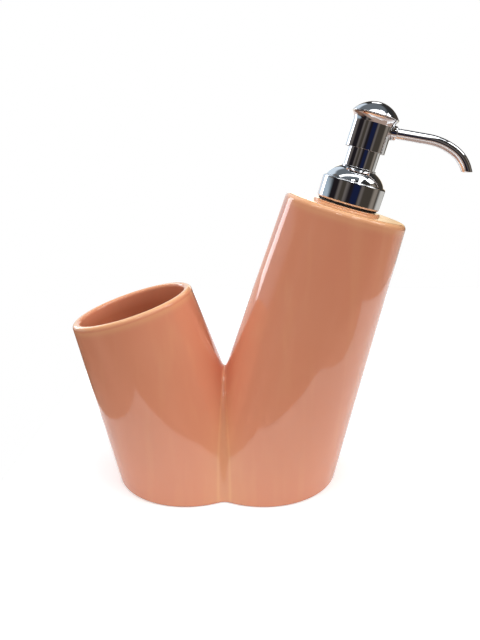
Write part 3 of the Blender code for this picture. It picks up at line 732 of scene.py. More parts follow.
@dataclass
class CeramicBody:
    """Cup and tank in one casting, with the crease where they meet."""

    cup: Leg = Leg(-1, 0.1064, 0.0340)
    tank: Leg = Leg(1, 0.1592, 0.0321)
    wall: float = 0.0044
    middle_wall: float = 0.0050
    floor: float = 0.0060
    inner_corner: float = 0.0060
    foot_ring: float = 0.0070
    foot_bar: float = 0.0080
    foot_edge: float = 0.0010
    hollow_depth: float = 0.0012
    hollow_draft_share: float = 0.02
    crease_blend: float = 0.0032
    crease_narrow: float = 0.0009
    crease_wide: float = 0.0033
    crease_spread: float = 0.040
    crease_softness_share: float = 0.22
    # Painted highlight lines on the crease's edges, and painted light down its lower middle.
    crease_painted_highlight: float = 0.30
    crease_painted_light: float = 0.26
    painted_light_reach: float = 0.012
    edge_fade: float = 0.0030
    # Paler towards the top edge: partly thin glaze, partly a painted highlight that grows towards
    # the top face.
    edge_thin_and_highlight: float = 0.30
    edge_highlight_rise: float = 0.55
    lip_start: float = 0.0015
    lip_step: float = 0.0006
    lip_step_thin: float = 0.35
    lip_thin_place: float = 0.42
    lip_thin_spread: float = 0.26
    tank_edge: float = 0.0026
    tank_edge_start: float = 0.0012
    top_thickness: float = 0.0046
    top_step: float = 0.0008
    top_slack: float = 0.0001
    land_radius: float = 0.0171
    land_height: float = 0.0012
    land_edge: float = 0.0005
    land_step: float = 0.0030
    # The flat top face and land are painted paler, as painted light on the upward-facing top.
    land_painted_light: float = 0.62
    mouth_radius: float = 0.0136
    mouth_edge: float = 0.0005
    columns: int = 176
    crowd: float = 0.55
    crease_rows: int = 34
    leg_rows: int = 18
    leg_crowd: float = 1.4
    inner_rows: int = 12
    edge_rows: int = 8
    edge_shares: tuple[float, float] = (0.5, 1.0)
    # Foot-edge rows of bare clay that carry the painted contact shadow.
    bare_shadow_rows: int = 2
    fillet_steps: int = 4
    land_steps: int = 5
    lip_rows: int = 18
    crisp: float = 50.0
    saddle: float = field(init=False)

    def __post_init__(self) -> None:
        """Find the height of the saddle, where the legs part in the middle plane."""
        ray = np.array([[0.0, 0.0, 1.0]])
        limit = np.array([self.cup.length])
        self.saddle = float(self.march(self.skin, np.zeros(3), ray, limit)[0, 2])

    def skin(self, points: np.ndarray) -> np.ndarray:
        """How far points lie outside the two legs run together."""
        return soft_least(self.cup.skin(points), self.tank.skin(points), self.crease_blend)

    def room(self, leg: Leg, wall: float, middle_wall: float) -> Field:
        """Field of the room that a wall and the middle wall leave in a leg.

        Args:
            leg: Leg that the room is in.
            wall: Thickness of the wall.
            middle_wall: Thickness left in the middle plane.

        Returns:
            The field, which is negative in the room.
        """
        def outside(points: np.ndarray) -> np.ndarray:
            """How far points lie outside the room."""
            beyond = middle_wall / 2 - leg.side * points[:, 0]
            return -soft_least(-(leg.skin(points) + wall), -beyond, self.inner_corner)
        return outside

    @staticmethod
    def march(outside: Field, start: np.ndarray, rays: np.ndarray,
              limits: np.ndarray) -> np.ndarray:
        """Find where rays from inside a form leave it.

        Args:
            outside: Field that is negative inside the form.
            start: Point that all the rays start from.
            rays: Unit directions.
            limits: Furthest distance along each ray.

        Returns:
            The points where they leave.
        """
        low = np.zeros(len(rays))
        high = limits.copy()
        for _ in range(HALVINGS):
            middle = (low + high) / 2
            inside = outside(start + middle[:, None] * rays) < 0
            low = np.where(inside, middle, low)
            high = np.where(inside, high, middle)
        return start + high[:, None] * rays

    def crease_reach(self, height: float, inset: float = 0.0) -> float:
        """Half depth of the joined section in the middle plane.

        Args:
            height: Height above the floor.
            inset: How far inside the skin.

        Returns:
            The half depth, or 0 above the saddle.
        """
        start = np.array([0.0, 0.0, height])
        outside = set_in(self.skin, inset)
        if outside(start[None, :])[0] >= 0:
            return 0.0
        ray = np.array([[0.0, 1.0, 0.0]])
        limit = np.array([2 * self.cup.foot_radius])
        return float(self.march(outside, start, ray, limit)[0, 1])

    def ring(self, leg: Leg, station: float, tilt: float, outside: Field,
             crease: float = 0.0) -> np.ndarray:
        """Make one row of points, from the front crease round to the back one.

        Args:
            leg: Leg that the row goes round.
            station: Distance of its plane along the leg.
            tilt: Angle of its plane from level.
            outside: Field of the form that the row lies on.
            crease: Half depth of the crease, or 0 for a full ring.

        Returns:
            The points of the row.
        """
        centre = leg.centre(station)
        start = math.atan2(crease, abs(centre[0]))
        shares = np.arange(self.columns + 1) / self.columns
        shares = shares - self.crowd * np.sin(math.tau * shares) / math.tau
        angles = start + (math.tau - 2 * start) * shares
        inward = np.array([-leg.side * math.cos(tilt), 0.0, math.sin(tilt)])
        front = np.array([0.0, -1.0, 0.0])
        rays = np.cos(angles)[:, None] * inward + np.sin(angles)[:, None] * front
        limits = np.full(len(rays), 2 * leg.foot_radius)
        crossing = rays[:, 0] * leg.side < -NEARLY_ZERO
        limits[crossing] = np.minimum(limits[crossing], -centre[0] / rays[crossing, 0])
        points = self.march(outside, centre, rays, limits)
        if crease > 0:
            points[0] = (0.0, -crease, centre[2])
            points[-1] = (0.0, crease, centre[2])
        return points

    def tilt_at(self, leg: Leg, station: float, square: float) -> float:
        """Tilt of a row: level up to the saddle, and square to the leg from a station on."""
        low = leg.station_at(self.saddle)
        return leg.lean * min(max((station - low) / (square - low), 0.0), 1.0)

    def foot_rows(self, leg: Leg) -> list[Row]:
        """Rows of the unglazed base of a leg, whose darker clay colour is a painted contact
        shadow.

        Args:
            leg: The leg.

        Returns:
            The rows of the hollow and of the ring that the body stands on.
        """
        rim = self.ring(leg, 0.0, 0.0, self.room(leg, self.foot_ring, self.foot_bar))
        raised = rim + (rim.mean(axis=0) - rim) * self.hollow_draft_share
        raised[:, 2] = self.hollow_depth
        return [Row(raised, bare_with_painted_shadow=1.0, looped=True), Row(rim, bare_with_painted_shadow=1.0, looped=True)]

    def outer_rows(self, leg: Leg, top: float) -> list[Row]:
        """Rows of the outer skin of a leg.

        Args:
            leg: The leg.
            top: Station just below its top edge.

        Returns:
            The rows, from the floor to that station.
        """
        rows = []
        for i, (rise, run) in enumerate(rounding(self.edge_rows)[:-1]):
            height = self.foot_edge * (1 - run)
            inset = self.foot_edge * (1 - rise)
            points = self.ring(leg, leg.station_at(height), 0.0, set_in(self.skin, inset),
                               self.crease_reach(height, inset))
            # The lowest rows are bare clay, darkened as a painted contact shadow.
            rows.append(Row(points, bare_with_painted_shadow=1.0 if i < self.bare_shadow_rows else 0.0))
        for i in range(self.crease_rows):
            climb = 1 - (1 - i / self.crease_rows) ** 2
            height = self.foot_edge + (self.saddle - self.foot_edge) * climb
            points = self.ring(leg, leg.station_at(height), 0.0, self.skin,
                               self.crease_reach(height))
            # The crease's rows get painted highlight lines and painted light.
            rows.append(Row(points, thin_and_painted_light=self.painted_crease_light(points, height)))
        low = leg.station_at(self.saddle)
        points = self.ring(leg, low, 0.0, self.skin)
        points[0] = points[-1] = (0.0, 0.0, self.saddle)
        rows.append(Row(points))
        last = top - self.edge_fade
        for i in range(1, self.leg_rows + 1):
            station = low + (last - low) * (i / self.leg_rows) ** self.leg_crowd
            tilt = self.tilt_at(leg, station, last)
            rows.append(Row(self.ring(leg, station, tilt, self.skin)))
        # Rows below the top edge fade into thin glaze with a painted highlight.
        for share in self.edge_shares:
            rows.append(Row(self.ring(leg, last + share * self.edge_fade, leg.lean, self.skin),
                            thin_and_painted_light=self.edge_thin_and_highlight * share ** 2))
        return rows

    def painted_crease_light(self, points: np.ndarray, height: float) -> np.ndarray:
        """Painted highlight lines on the two edges of the crease, and painted light that grows
        towards its lower end.

        Args:
            points: Points of one row, from the front crease round to the back one.
            height: Height of the row.

        Returns:
            The share of painted light at each point.
        """
        ends = np.stack([np.linalg.norm(points - points[0], axis=1),
                         np.linalg.norm(points - points[-1], axis=1)])
        drop = min((self.saddle - height) / self.crease_spread, 1.0)
        edge = self.crease_narrow + (self.crease_wide - self.crease_narrow) * drop
        near = ends.min(axis=0)
        line = np.exp(-((near - edge) / (self.crease_softness_share * edge)) ** 2)
        painted_brightening = drop * np.exp(-(near / self.painted_light_reach) ** 2)
        return self.crease_painted_highlight * line + self.crease_painted_light * painted_brightening

    def inner_rows_of(self, leg: Leg, top: float) -> list[Row]:
        """Rows of the room inside a leg.

        Args:
            leg: The leg.
            top: Station at which the room's straight wall starts.

        Returns:
            The rows below that station, down to the room's floor.
        """
        rows = []
        outside = self.room(leg, self.wall, self.middle_wall)
        bottom = leg.station_at(self.floor + self.inner_corner)
        # The rooms' rows carry painted shade.
        for i in range(1, self.inner_rows + 1):
            station = top + (bottom - top) * i / self.inner_rows
            tilt = self.tilt_at(leg, station, top)
            rows.append(Row(self.ring(leg, station, tilt, outside), inner=1.0))
        for rise, run in rounding(self.edge_rows)[1:]:
            height = self.floor + self.inner_corner * (1 - rise)
            points = self.ring(leg, leg.station_at(height), 0.0,
                               set_in(outside, self.inner_corner * (1 - run)))
            rows.append(Row(points, inner=1.0))
        return rows

    def cup_rows(self) -> list[Row]:
        """Rows of the cup.

        Returns:
            The rows, from its base over the round lip to its floor.
        """
        leg = self.cup
        lip = self.wall / 2
        top = leg.length - lip
        rows = self.foot_rows(leg) + self.outer_rows(leg, top - self.lip_start)
        rows.append(Row(self.ring(leg, top - self.lip_step, leg.lean, leg.skin),
                        thin_and_painted_light=self.lip_step_thin))
        for i, (rise, run) in enumerate(rounding(self.lip_rows, math.pi)):
            off = (i / self.lip_rows - self.lip_thin_place) / self.lip_thin_spread
            points = self.ring(leg, top + lip * rise, leg.lean, set_in(leg.skin, lip * (1 - run)))
            rows.append(Row(points, thin_and_painted_light=math.exp(-off ** 2)))
        return rows + self.inner_rows_of(leg, top)

    def land_line(self) -> Profile:
        """Outline of the tank's top.

        Returns:
            Points of (radius, station), from its edge over the land into the mouth.
        """
        leg, edge, corner = self.tank, self.land_edge, self.mouth_edge
        top = leg.length + self.land_height
        under = leg.length - self.top_thickness
        inner, outer = self.mouth_radius, self.land_radius
        line: Profile = [(leg.top_radius - self.tank_edge - self.top_step, leg.length),
                         (outer + self.land_step, leg.length)]
        line += arc(outer + 2 * edge, leg.length + edge, edge, 270.0, 180.0,
                    self.fillet_steps)
        line += arc(outer, top - edge, edge, 0.0, 90.0, self.land_steps)
        line += arc(inner + corner, top - corner, corner, 90.0, 180.0, self.land_steps)
        return line + [(inner, under + corner), (inner + corner, under)]

    def tank_rows(self) -> list[Row]:
        """Rows of the tank.

        Returns:
            The rows, from its base over its top and its land to its floor.
        """
        leg = self.tank
        edge = leg.length - self.tank_edge
        rows = self.foot_rows(leg) + self.outer_rows(leg, edge - self.tank_edge_start)
        for rise, run in rounding(self.edge_rows):
            points = self.ring(leg, edge + self.tank_edge * rise, leg.lean,
                               set_in(leg.skin, self.tank_edge * (1 - run)))
            # Thin glaze over the edge's rounding, with a painted highlight growing towards the top
            # face.
            rows.append(Row(points, thin_and_painted_light=self.edge_thin_and_highlight + self.edge_highlight_rise * rise))
        for radius, station in self.land_line():
            points = self.ring(leg, station, leg.lean, set_in(leg.off_axis, -radius))
            # Painted light: the top face and land are painted paler.
            above = station >= leg.length - self.top_slack
            rows.append(Row(points, thin_and_painted_light=self.land_painted_light if above else 0.0))
        under = leg.length - self.top_thickness
        outside = self.room(leg, self.wall, self.middle_wall)
        for rise, run in rounding(self.edge_rows):
            points = self.ring(leg, under - self.inner_corner * (1 - run), leg.lean,
                               set_in(outside, self.inner_corner * (1 - rise)))
            rows.append(Row(points))
        return rows + self.inner_rows_of(leg, under - self.inner_corner)

    def loft(self, form: bmesh.types.BMesh, rows: list[Row]) -> None:
        """Add the faces between the rows of a leg, with the marks for the glaze and for its
        painted light and shade.

        Args:
            form: Form that has a layer for each mark.
            rows: The rows, from the base to the floor inside.
        """
        thin_and_light_mark, bare_shadow_mark, inner_shade_mark = (form.verts.layers.float[mark.value] for mark in Mark)
        grid = []
        for row in rows:
            line = [form.verts.new(point) for point in row.points]
            for vert, thin_and_painted_light in zip(line, np.broadcast_to(row.thin_and_painted_light, len(line))):
                vert[thin_and_light_mark] = float(thin_and_painted_light)
                vert[bare_shadow_mark] = row.bare_with_painted_shadow
                vert[inner_shade_mark] = row.inner
            grid.append(line)
        for row, low, high in zip(rows, grid, grid[1:]):
            for j in range(self.columns):
                form.faces.new((low[j], low[j + 1], high[j + 1], high[j]))
            if row.looped:
                form.faces.new((low[-1], low[0], high[0], high[-1]))
        form.faces.new(grid[0])
        form.faces.new(grid[-1][:-1])

    def build(self) -> None:
        """Loft both legs, join them along the crease and dress the body."""
        form = bmesh.new()
        for mark in Mark:
            form.verts.layers.float.new(mark.value)
        for rows in (self.cup_rows(), self.tank_rows()):
            self.loft(form, rows)
        bmesh.ops.remove_doubles(form, verts=form.verts, dist=MERGE_DISTANCE)
        piece = show_form(form, bpy.data.meshes.new("glazed_body"), self.crisp)
        dress(piece, GLAZE.material("peach_glaze"), Body.BOTTLE, Slot.GLAZE, "ceramic_body")

    @property
    def pump_frame(self) -> Matrix:
        """Placement of the pump's axis, at the middle of the tank's top."""
        turn = Matrix.Rotation(self.tank.lean, 4, "Y")
        return Matrix.Translation(Vector(self.tank.centre(self.tank.length))) @ turn


# Pump


@dataclass(frozen=True)
class PumpHeights:
    """Heights on the pump's axis that its shown pieces share, from the tank's top."""

    gasket_bottom: float = 0.0015
    gasket_top: float = 0.0020
    collar_bottom: float = 0.0023
    band_top: float = 0.0129
    shoulder_bottom: float = 0.0140
    shoulder_top: float = 0.0202
    collar_top: float = 0.0208
    barrel_bottom: float = 0.0298
    riser_top: float = 0.0304
    spout_root: float = 0.0401
    flare_bottom: float = 0.0430
    flare_top: float = 0.0463
    cap_bottom: float = 0.0466
    rim_top: float = 0.0473
    dome_top: float = 0.0533


@dataclass
class NeckGasket:
    """Black ring between the tank's land and the collar."""

    heights: PumpHeights
    outer: float = 0.0155
    inner: float = 0.0136
    edge: float = 0.0002
    edge_steps: int = 4

    def build(self, frame: Matrix) -> None:
        """Turn the ring and dress it.

        Args:
            frame: Placement of the pump's axis.
        """
        low, high = self.heights.gasket_bottom, self.heights.gasket_top
        edge, steps = self.edge, self.edge_steps
        profile = arc(self.outer - edge, high - edge, edge, 90.0, 0.0, steps)
        profile += arc(self.outer - edge, low + edge, edge, 0.0, -90.0, steps)
        profile += [(self.inner, low), (self.inner, high)]
        piece = turned("neck_gasket_ring", profile, frame)
        dress(piece, RUBBER.material("black_seal"), Body.BOTTLE, Slot.BLACK_RUBBER, "base_gasket")


@dataclass
class ScrewCollar:
    """Polished shell of the screw collar, with its rolled hem and its ogee shoulder."""

    heights: PumpHeights
    radius: float = 0.01635
    shell: float = 0.0007
    hem: float = 0.0013
    foot_edge: float = 0.0011
    top_edge: float = 0.0011
    shoulder_foot: float = 0.0150
    shoulder_draw: float = 0.0013
    top_pull_share: float = 0.10
    throat: float = 0.0007
    foot_pull_share: float = 0.63
    hole: float = 0.0084
    hole_edge: float = 0.0001
    lip: float = 0.0005
    lip_edge: float = 0.0002
    lip_steps: int = 4
    edge_steps: int = 8
    band_angle: float = 82.0
    shoulder_steps: int = 22
    inner_steps: int = 6

    def shoulder(self, inset: float, count: int) -> Profile:
        """Ogee of the shoulder from its top down.

        Args:
            inset: How far it is set in from the outside.
            count: Steps along it.

        Returns:
            The points of the curve.
        """
        top = self.heights.shoulder_top - inset
        bottom = self.heights.shoulder_bottom - inset
        neck = self.hole + self.lip / 2
        foot = self.shoulder_foot - inset
        fall = top - bottom
        return swept(((neck, top), (neck + self.throat, top - self.top_pull_share * fall),
                      (foot - self.shoulder_draw, top - (1 - self.foot_pull_share) * fall),
                      (foot, bottom)), count)

    def build(self, frame: Matrix) -> None:
        """Turn the shell and dress it.

        Args:
            frame: Placement of the pump's axis.
        """
        at = self.heights
        rim = self.hole + self.lip
        profile: Profile = [(self.hole, at.collar_top - self.hole_edge),
                            (self.hole + self.hole_edge, at.collar_top)]
        profile += arc(rim - self.lip_edge, at.collar_top - self.lip_edge, self.lip_edge, 90.0,
                       0.0, self.lip_steps)
        profile += [(rim, at.shoulder_top + self.lip_edge)]
        curve = self.shoulder(0.0, self.shoulder_steps)
        curve[0] = (self.hole + self.lip / 2 + self.hole_edge, at.shoulder_top)
        profile += curve
        profile += arc(self.radius - self.top_edge, at.band_top, self.top_edge,
                       self.band_angle, 0.0, self.edge_steps)
        profile += arc(self.radius - self.foot_edge, at.collar_bottom + self.foot_edge,
                       self.foot_edge, 0.0, -90.0, self.edge_steps)
        inner = self.radius - self.shell
        profile += [(self.radius - self.hem, at.collar_bottom),
                    (self.radius - self.hem, at.collar_bottom + self.shell),
                    (inner, at.collar_bottom + self.foot_edge), (inner, at.band_top)]
        profile += self.shoulder(self.shell, self.inner_steps)[:0:-1]
        profile += [(self.hole, at.shoulder_top - self.shell)]
        piece = turned("collar_bell", profile, frame)
        dress(piece, PLATING.material("collar_plating"), Body.COLLAR, Slot.CHROME,
              "collar_shell")


@dataclass
class Riser:
    """Polished sleeve that the head slides down over."""

    heights: PumpHeights
    radius: float = 0.0081
    wall: float = 0.0011
    foot: float = 0.016532
    edge: float = 0.0003
    edge_steps: int = 4

    def build(self, frame: Matrix) -> None:
        """Turn the sleeve and dress it.

        Args:
            frame: Placement of the pump's axis.
        """
        top = self.heights.riser_top
        bore = self.radius - self.wall
        profile: Profile = [(bore, self.foot), (self.radius, self.foot)]
        profile += arc(self.radius - self.edge, top - self.edge, self.edge, 0.0, 90.0,
                       self.edge_steps)
        profile += [(bore, top)]
        piece = turned("riser_tube", profile, frame)
        dress(piece, PLATING.material("riser_plating"), Body.PUMP, Slot.CHROME, "riser_sleeve")


@dataclass
class PumpHead:
    """Barrel with its flare, domed cap, ferrule and bent spout."""

    heights: PumpHeights
    barrel: float = 0.0101
    barrel_wall: float = 0.0012
    barrel_edge: float = 0.0001
    flare: float = 0.0117
    flare_draw: float = 0.0002
    flare_pull_share: float = 0.125
    flare_steps: int = 16
    edge_steps: int = 6
    cap: float = 0.0119
    cap_edge: float = 0.0003
    boss: float = 0.0078
    boss_depth: float = 0.0012
    dome_height: float = 0.0060
    dome_steps: int = 24
    rim_start: float = 60.0
    rim_sweep: float = 150.0
    rim_steps: int = 10
    spout_radius: float = 0.0026
    spout_wall: float = 0.0007
    spout_gap: float = 0.0003
    spout_start: float = 0.0055
    spout_rise: float = math.radians(5.5)
    straight: float = 0.0288
    straight_steps: int = 10
    bends: tuple[tuple[float, float], ...] = ((0.0340, math.radians(25.5)),
                                              (0.0195, math.radians(38.0)))
    bend_steps: int = 26
    spout_sides: int = 56
    spout_crisp: float = 40.0
    tip_rows: int = 5
    tip_outside: tuple[tuple[float, float], ...] = (
        (0.0, 0.0006), (0.0, 0.00015), (0.00006, 0.00004), (0.00018, 0.0))
    tip_inside: tuple[tuple[float, float], ...] = (
        (0.00018, 0.0), (0.00005, 0.00005), (0.0, 0.0002), (0.0, 0.0008))
    bore_stride: int = 4
    drill: tuple[float, float] = (0.004, 0.014)
    drill_sides: int = 48
    ferrule: float = 0.0036
    ferrule_length: float = 0.0026
    ferrule_edge: float = 0.0006
    ferrule_sides: int = 72
    seat_gap: float = 0.0001
    seat_sides: int = 96

    def build(self, frame: Matrix) -> None:
        """Build the head's pieces.

        Args:
            frame: Placement of the pump's axis.
        """
        self.build_barrel(frame)
        self.build_cap(frame)
        self.build_ferrule(frame)
        self.build_spout(frame)

    def spout_frame(self, frame: Matrix) -> Matrix:
        """Placement of the spout's root, with Z along it."""
        root = Matrix.Translation((0.0, 0.0, self.heights.spout_root))
        return frame @ root @ Matrix.Rotation(math.pi / 2 - self.spout_rise, 4, "Y")

    def build_barrel(self, frame: Matrix) -> None:
        """Turn the barrel, bore the hole for the spout and dress it.

        Args:
            frame: Placement of the pump's axis.
        """
        at = self.heights
        bore = self.barrel - self.barrel_wall
        fall = at.flare_top - at.flare_bottom
        profile = swept(((self.flare, at.flare_top),
                         (self.flare - self.barrel_wall, at.flare_top - self.barrel_wall),
                         (self.barrel + self.flare_draw,
                          at.flare_bottom + self.flare_pull_share * fall),
                         (self.barrel, at.flare_bottom)), self.flare_steps)
        profile += arc(self.barrel - self.barrel_edge, at.barrel_bottom + self.barrel_edge,
                       self.barrel_edge, 0.0, -90.0, self.edge_steps)
        profile += [(bore, at.barrel_bottom), (bore, at.flare_bottom),
                    (self.flare - self.barrel_wall, at.flare_top)]
        piece = turned("head_barrel_turned", profile, frame)
        cut_away(piece, post("spout_drill", self.spout_radius + self.spout_gap, self.drill,
                             self.spout_frame(frame), self.drill_sides))
        dress(piece, PLATING.material("barrel_plating"), Body.HEAD, Slot.CHROME, "head_barrel")

    def build_cap(self, frame: Matrix) -> None:
        """Turn the domed cap and dress it.

        Args:
            frame: Placement of the pump's axis.
        """
        at = self.heights
        half = self.cap - self.cap_edge
        bow = (half ** 2 + self.dome_height ** 2) / (2 * self.dome_height)
        profile = [(bow * rise, at.dome_top - bow * (1 - run))
                   for rise, run in rounding(self.dome_steps, math.asin(half / bow))]
        middle = (at.rim_top + at.cap_bottom) / 2
        tall = (at.rim_top - at.cap_bottom) / 2
        for i in range(self.rim_steps + 1):
            turn = math.radians(self.rim_start - self.rim_sweep * i / self.rim_steps)
            profile.append((self.cap - self.cap_edge * (1 - math.cos(turn)),
                            middle + tall * math.sin(turn)))
        profile += [(self.boss, at.cap_bottom), (self.boss, at.cap_bottom - self.boss_depth),
                    (0.0, at.cap_bottom - self.boss_depth)]
        piece = turned("domed_cap", profile, frame)
        dress(piece, PLATING.material("cap_plating"), Body.HEAD, Slot.CHROME, "head_cap")

    def build_ferrule(self, frame: Matrix) -> None:
        """Turn the ring at the spout's root, seat it on the barrel and dress it.

        Args:
            frame: Placement of the pump's axis.
        """
        start = self.barrel - self.ferrule_edge
        end = self.barrel + self.ferrule_length
        hole = self.spout_radius + self.spout_gap
        profile: Profile = [(hole, start), (self.ferrule, start)]
        profile += arc(self.ferrule - self.ferrule_edge, end - self.ferrule_edge,
                       self.ferrule_edge, 0.0, 90.0, self.edge_steps)
        profile += [(hole, end)]
        piece = turned("spout_root_ring", profile, self.spout_frame(frame), self.ferrule_sides)
        ends = (self.heights.barrel_bottom, self.heights.flare_top)
        cut_away(piece, post("barrel_room", self.barrel + self.seat_gap, ends, frame,
                             self.seat_sides))
        dress(piece, PLATING.material("ferrule_plating"), Body.HEAD, Slot.CHROME,
              "spout_ferrule")

    def spout_line(self, frame: Matrix) -> tuple[list[Vector], list[Vector]]:
        """Centre line of the spout in the model's frame.

        Args:
            frame: Placement of the pump's axis.

        Returns:
            Points along it and the direction at each.
        """
        heading = self.spout_rise
        place = Vector((0.0, 0.0, self.heights.spout_root))
        place += self.spout_start * Vector((math.cos(heading), 0.0, math.sin(heading)))
        points, headings = [place.copy()], [heading]
        run = self.straight - self.spout_start
        for _ in range(self.straight_steps):
            place += run / self.straight_steps * Vector((math.cos(heading), 0.0,
                                                         math.sin(heading)))
            points.append(place.copy())
            headings.append(heading)
        for radius, bend in self.bends:
            step = bend / self.bend_steps
            for _ in range(self.bend_steps):
                middle = heading - step / 2
                place += 2 * radius * math.sin(step / 2) * Vector((math.cos(middle), 0.0,
                                                                   math.sin(middle)))
                heading -= step
                points.append(place.copy())
                headings.append(heading)
        turn = frame.to_3x3()
        return ([frame @ point for point in points],
                [turn @ Vector((math.cos(a), 0.0, math.sin(a))) for a in headings])

    def tube_ring(self, place: Vector, way: Vector, radius: float,
                  level: float | None = None) -> list[Vector]:
        """Make one ring of points round the spout's line.

        Args:
            place: Middle of the ring.
            way: Direction of the line there.
            radius: Radius of the ring.
            level: Height to which the points slide along the line, if any.

        Returns:
            The points of the ring.
        """
        side = Vector((0.0, 1.0, 0.0))
        ring = []
        for i in range(self.spout_sides):
            turn = math.tau * i / self.spout_sides
            point = place + radius * (math.cos(turn) * side + math.sin(turn) * way.cross(side))
            if level is not None:
                point = point + way * ((level - point.z) / way.z)
            ring.append(point)
        return ring

    def build_spout(self, frame: Matrix) -> None:
        """Sweep the tube with its bore, end it level and dress it.

        Args:
            frame: Placement of the pump's axis.
        """
        line = list(zip(*self.spout_line(frame)))
        tube = line[:len(line) - self.tip_rows]
        tip, way = line[-1]
        bore = self.spout_radius - self.spout_wall
        rings = [self.tube_ring(*spot, self.spout_radius) for spot in tube]
        for inset, lift in self.tip_outside:
            rings.append(self.tube_ring(tip, way, self.spout_radius - inset, tip.z + lift))
        for inset, lift in self.tip_inside:
            rings.append(self.tube_ring(tip, way, bore + inset, tip.z + lift))
        rings += [self.tube_ring(*spot, bore) for spot in tube[::-self.bore_stride]]
        rings.append(self.tube_ring(*line[0], bore))
        faces = []
        for row in range(len(rings)):
            start = row * self.spout_sides
            below = ((row + 1) % len(rings)) * self.spout_sides
            for i in range(self.spout_sides):
                j = (i + 1) % self.spout_sides
                faces.append((start + i, start + j, below + j, below + i))
        piece = add_piece("curved_spout", [corner for ring in rings for corner in ring], faces,
                          self.spout_crisp)
        dress(piece, PLATING.material("spout_plating"), Body.HEAD, Slot.CHROME, "spout")


class Stuff(Enum):
    """What the inner pieces are made of: word in the material's name, finish and slot."""

    WHITE = ("white", WHITE_PLASTIC, Slot.WHITE_PLASTIC)
    MILKY = ("milky", MILKY_PLASTIC, Slot.CLEAR_PLASTIC)
    STEEL = ("steel", STEEL, Slot.STEEL)
    RUBBER = ("rubber", RUBBER, Slot.BLACK_RUBBER)


@dataclass
class PumpWorks:
    """Inner pieces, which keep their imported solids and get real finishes."""

    pieces: dict[Stuff, tuple[str, ...]] = field(default_factory=lambda: {
        Stuff.WHITE: ("neck_insert", "collar_liner", "stem_guide", "spring_seat", "stem",
                      "head_core"),
        Stuff.MILKY: ("pump_chamber", "dip_tube", "piston"),
        Stuff.STEEL: ("inlet_ball", "outlet_ball", "return_spring"),
        Stuff.RUBBER: ("neck_seal",)})

    def dress_all(self, nodes: dict[str, bpy.types.Object]) -> None:
        """Give each packed inner piece its finish.

        Args:
            nodes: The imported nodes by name.
        """
        for stuff, names in self.pieces.items():
            word, finish, slot = stuff.value
            for name in names:
                node = nodes[name]
                material = finish.material(f"{name}_{word}")
                if node.material_slots:
                    for holder in node.material_slots:
                        holder.material = material
                else:
                    node.data.materials.append(material)
                log.info("%s keeps its solid, in %s", name, word)


# Studio


@dataclass(frozen=True)
class Softbox:
    """A soft lamp that faces a point of the object."""

    name: str
    place: Point
    aim: Point
    width: float
    height: float
    radiance: float
    tint: Colour = (1.0, 1.0, 1.0)
    in_gloss: bool = True

    def build(self) -> None:
        """Hang the lamp, which the eye doesn't see."""
        lamp = bpy.data.lights.new(self.name, "AREA")
        lamp.shape = "RECTANGLE"
        lamp.size = self.width
        lamp.size_y = self.height
        lamp.energy = self.radiance * math.pi * self.width * self.height
        lamp.color = self.tint
        holder = bpy.data.objects.new(self.name, lamp)
        bpy.context.scene.collection.objects.link(holder)
        holder.location = self.place
        way = Vector(self.aim) - Vector(self.place)
        holder.rotation_euler = way.to_track_quat("-Z", "Y").to_euler()
        holder.visible_camera = False
        holder.visible_glossy = self.in_gloss


class Tone(Enum):
    """Plain tones of the room's upright stripes."""

    DAYLIGHT = (0.75, 0.85, 0.95)
    TAN = (0.28, 0.24, 0.20)
    GREY = (0.15, 0.13, 0.12)
    BROWN = (0.06, 0.05, 0.04)
    DARK = (0.015, 0.012, 0.015)


@dataclass(frozen=True)
class Patch:
    """A patch of the room's walls, floor or ceiling, which only gloss shows."""

    compass: tuple[float, float]
    height: tuple[float, float]
    colour: Colour
    blur: float = 0.01

    def paint(self, plan: NodePlan, under: bpy.types.NodeSocket, height: bpy.types.NodeSocket,
              compass: bpy.types.NodeSocket) -> bpy.types.NodeSocket:
        """Lay the patch over what is painted so far.

        Args:
            plan: Node tree of the room.
            under: Output with the colour so far.
            height: Output with the upward part of the direction.
            compass: Output with the share of the compass.

        Returns:
            Output with the new colour.
        """
        edges = []
        for value, (first, last) in ((height, self.height), (compass, self.compass)):
            edges.append(plan.span(value, first - self.blur, first + self.blur))
            edges.append(plan.span(value, last + self.blur, last - self.blur))
        mask = edges[0]
        for edge in edges[1:]:
            mask = plan.math("MULTIPLY", mask, edge)
        return plan.mixed(mask, under, self.colour)


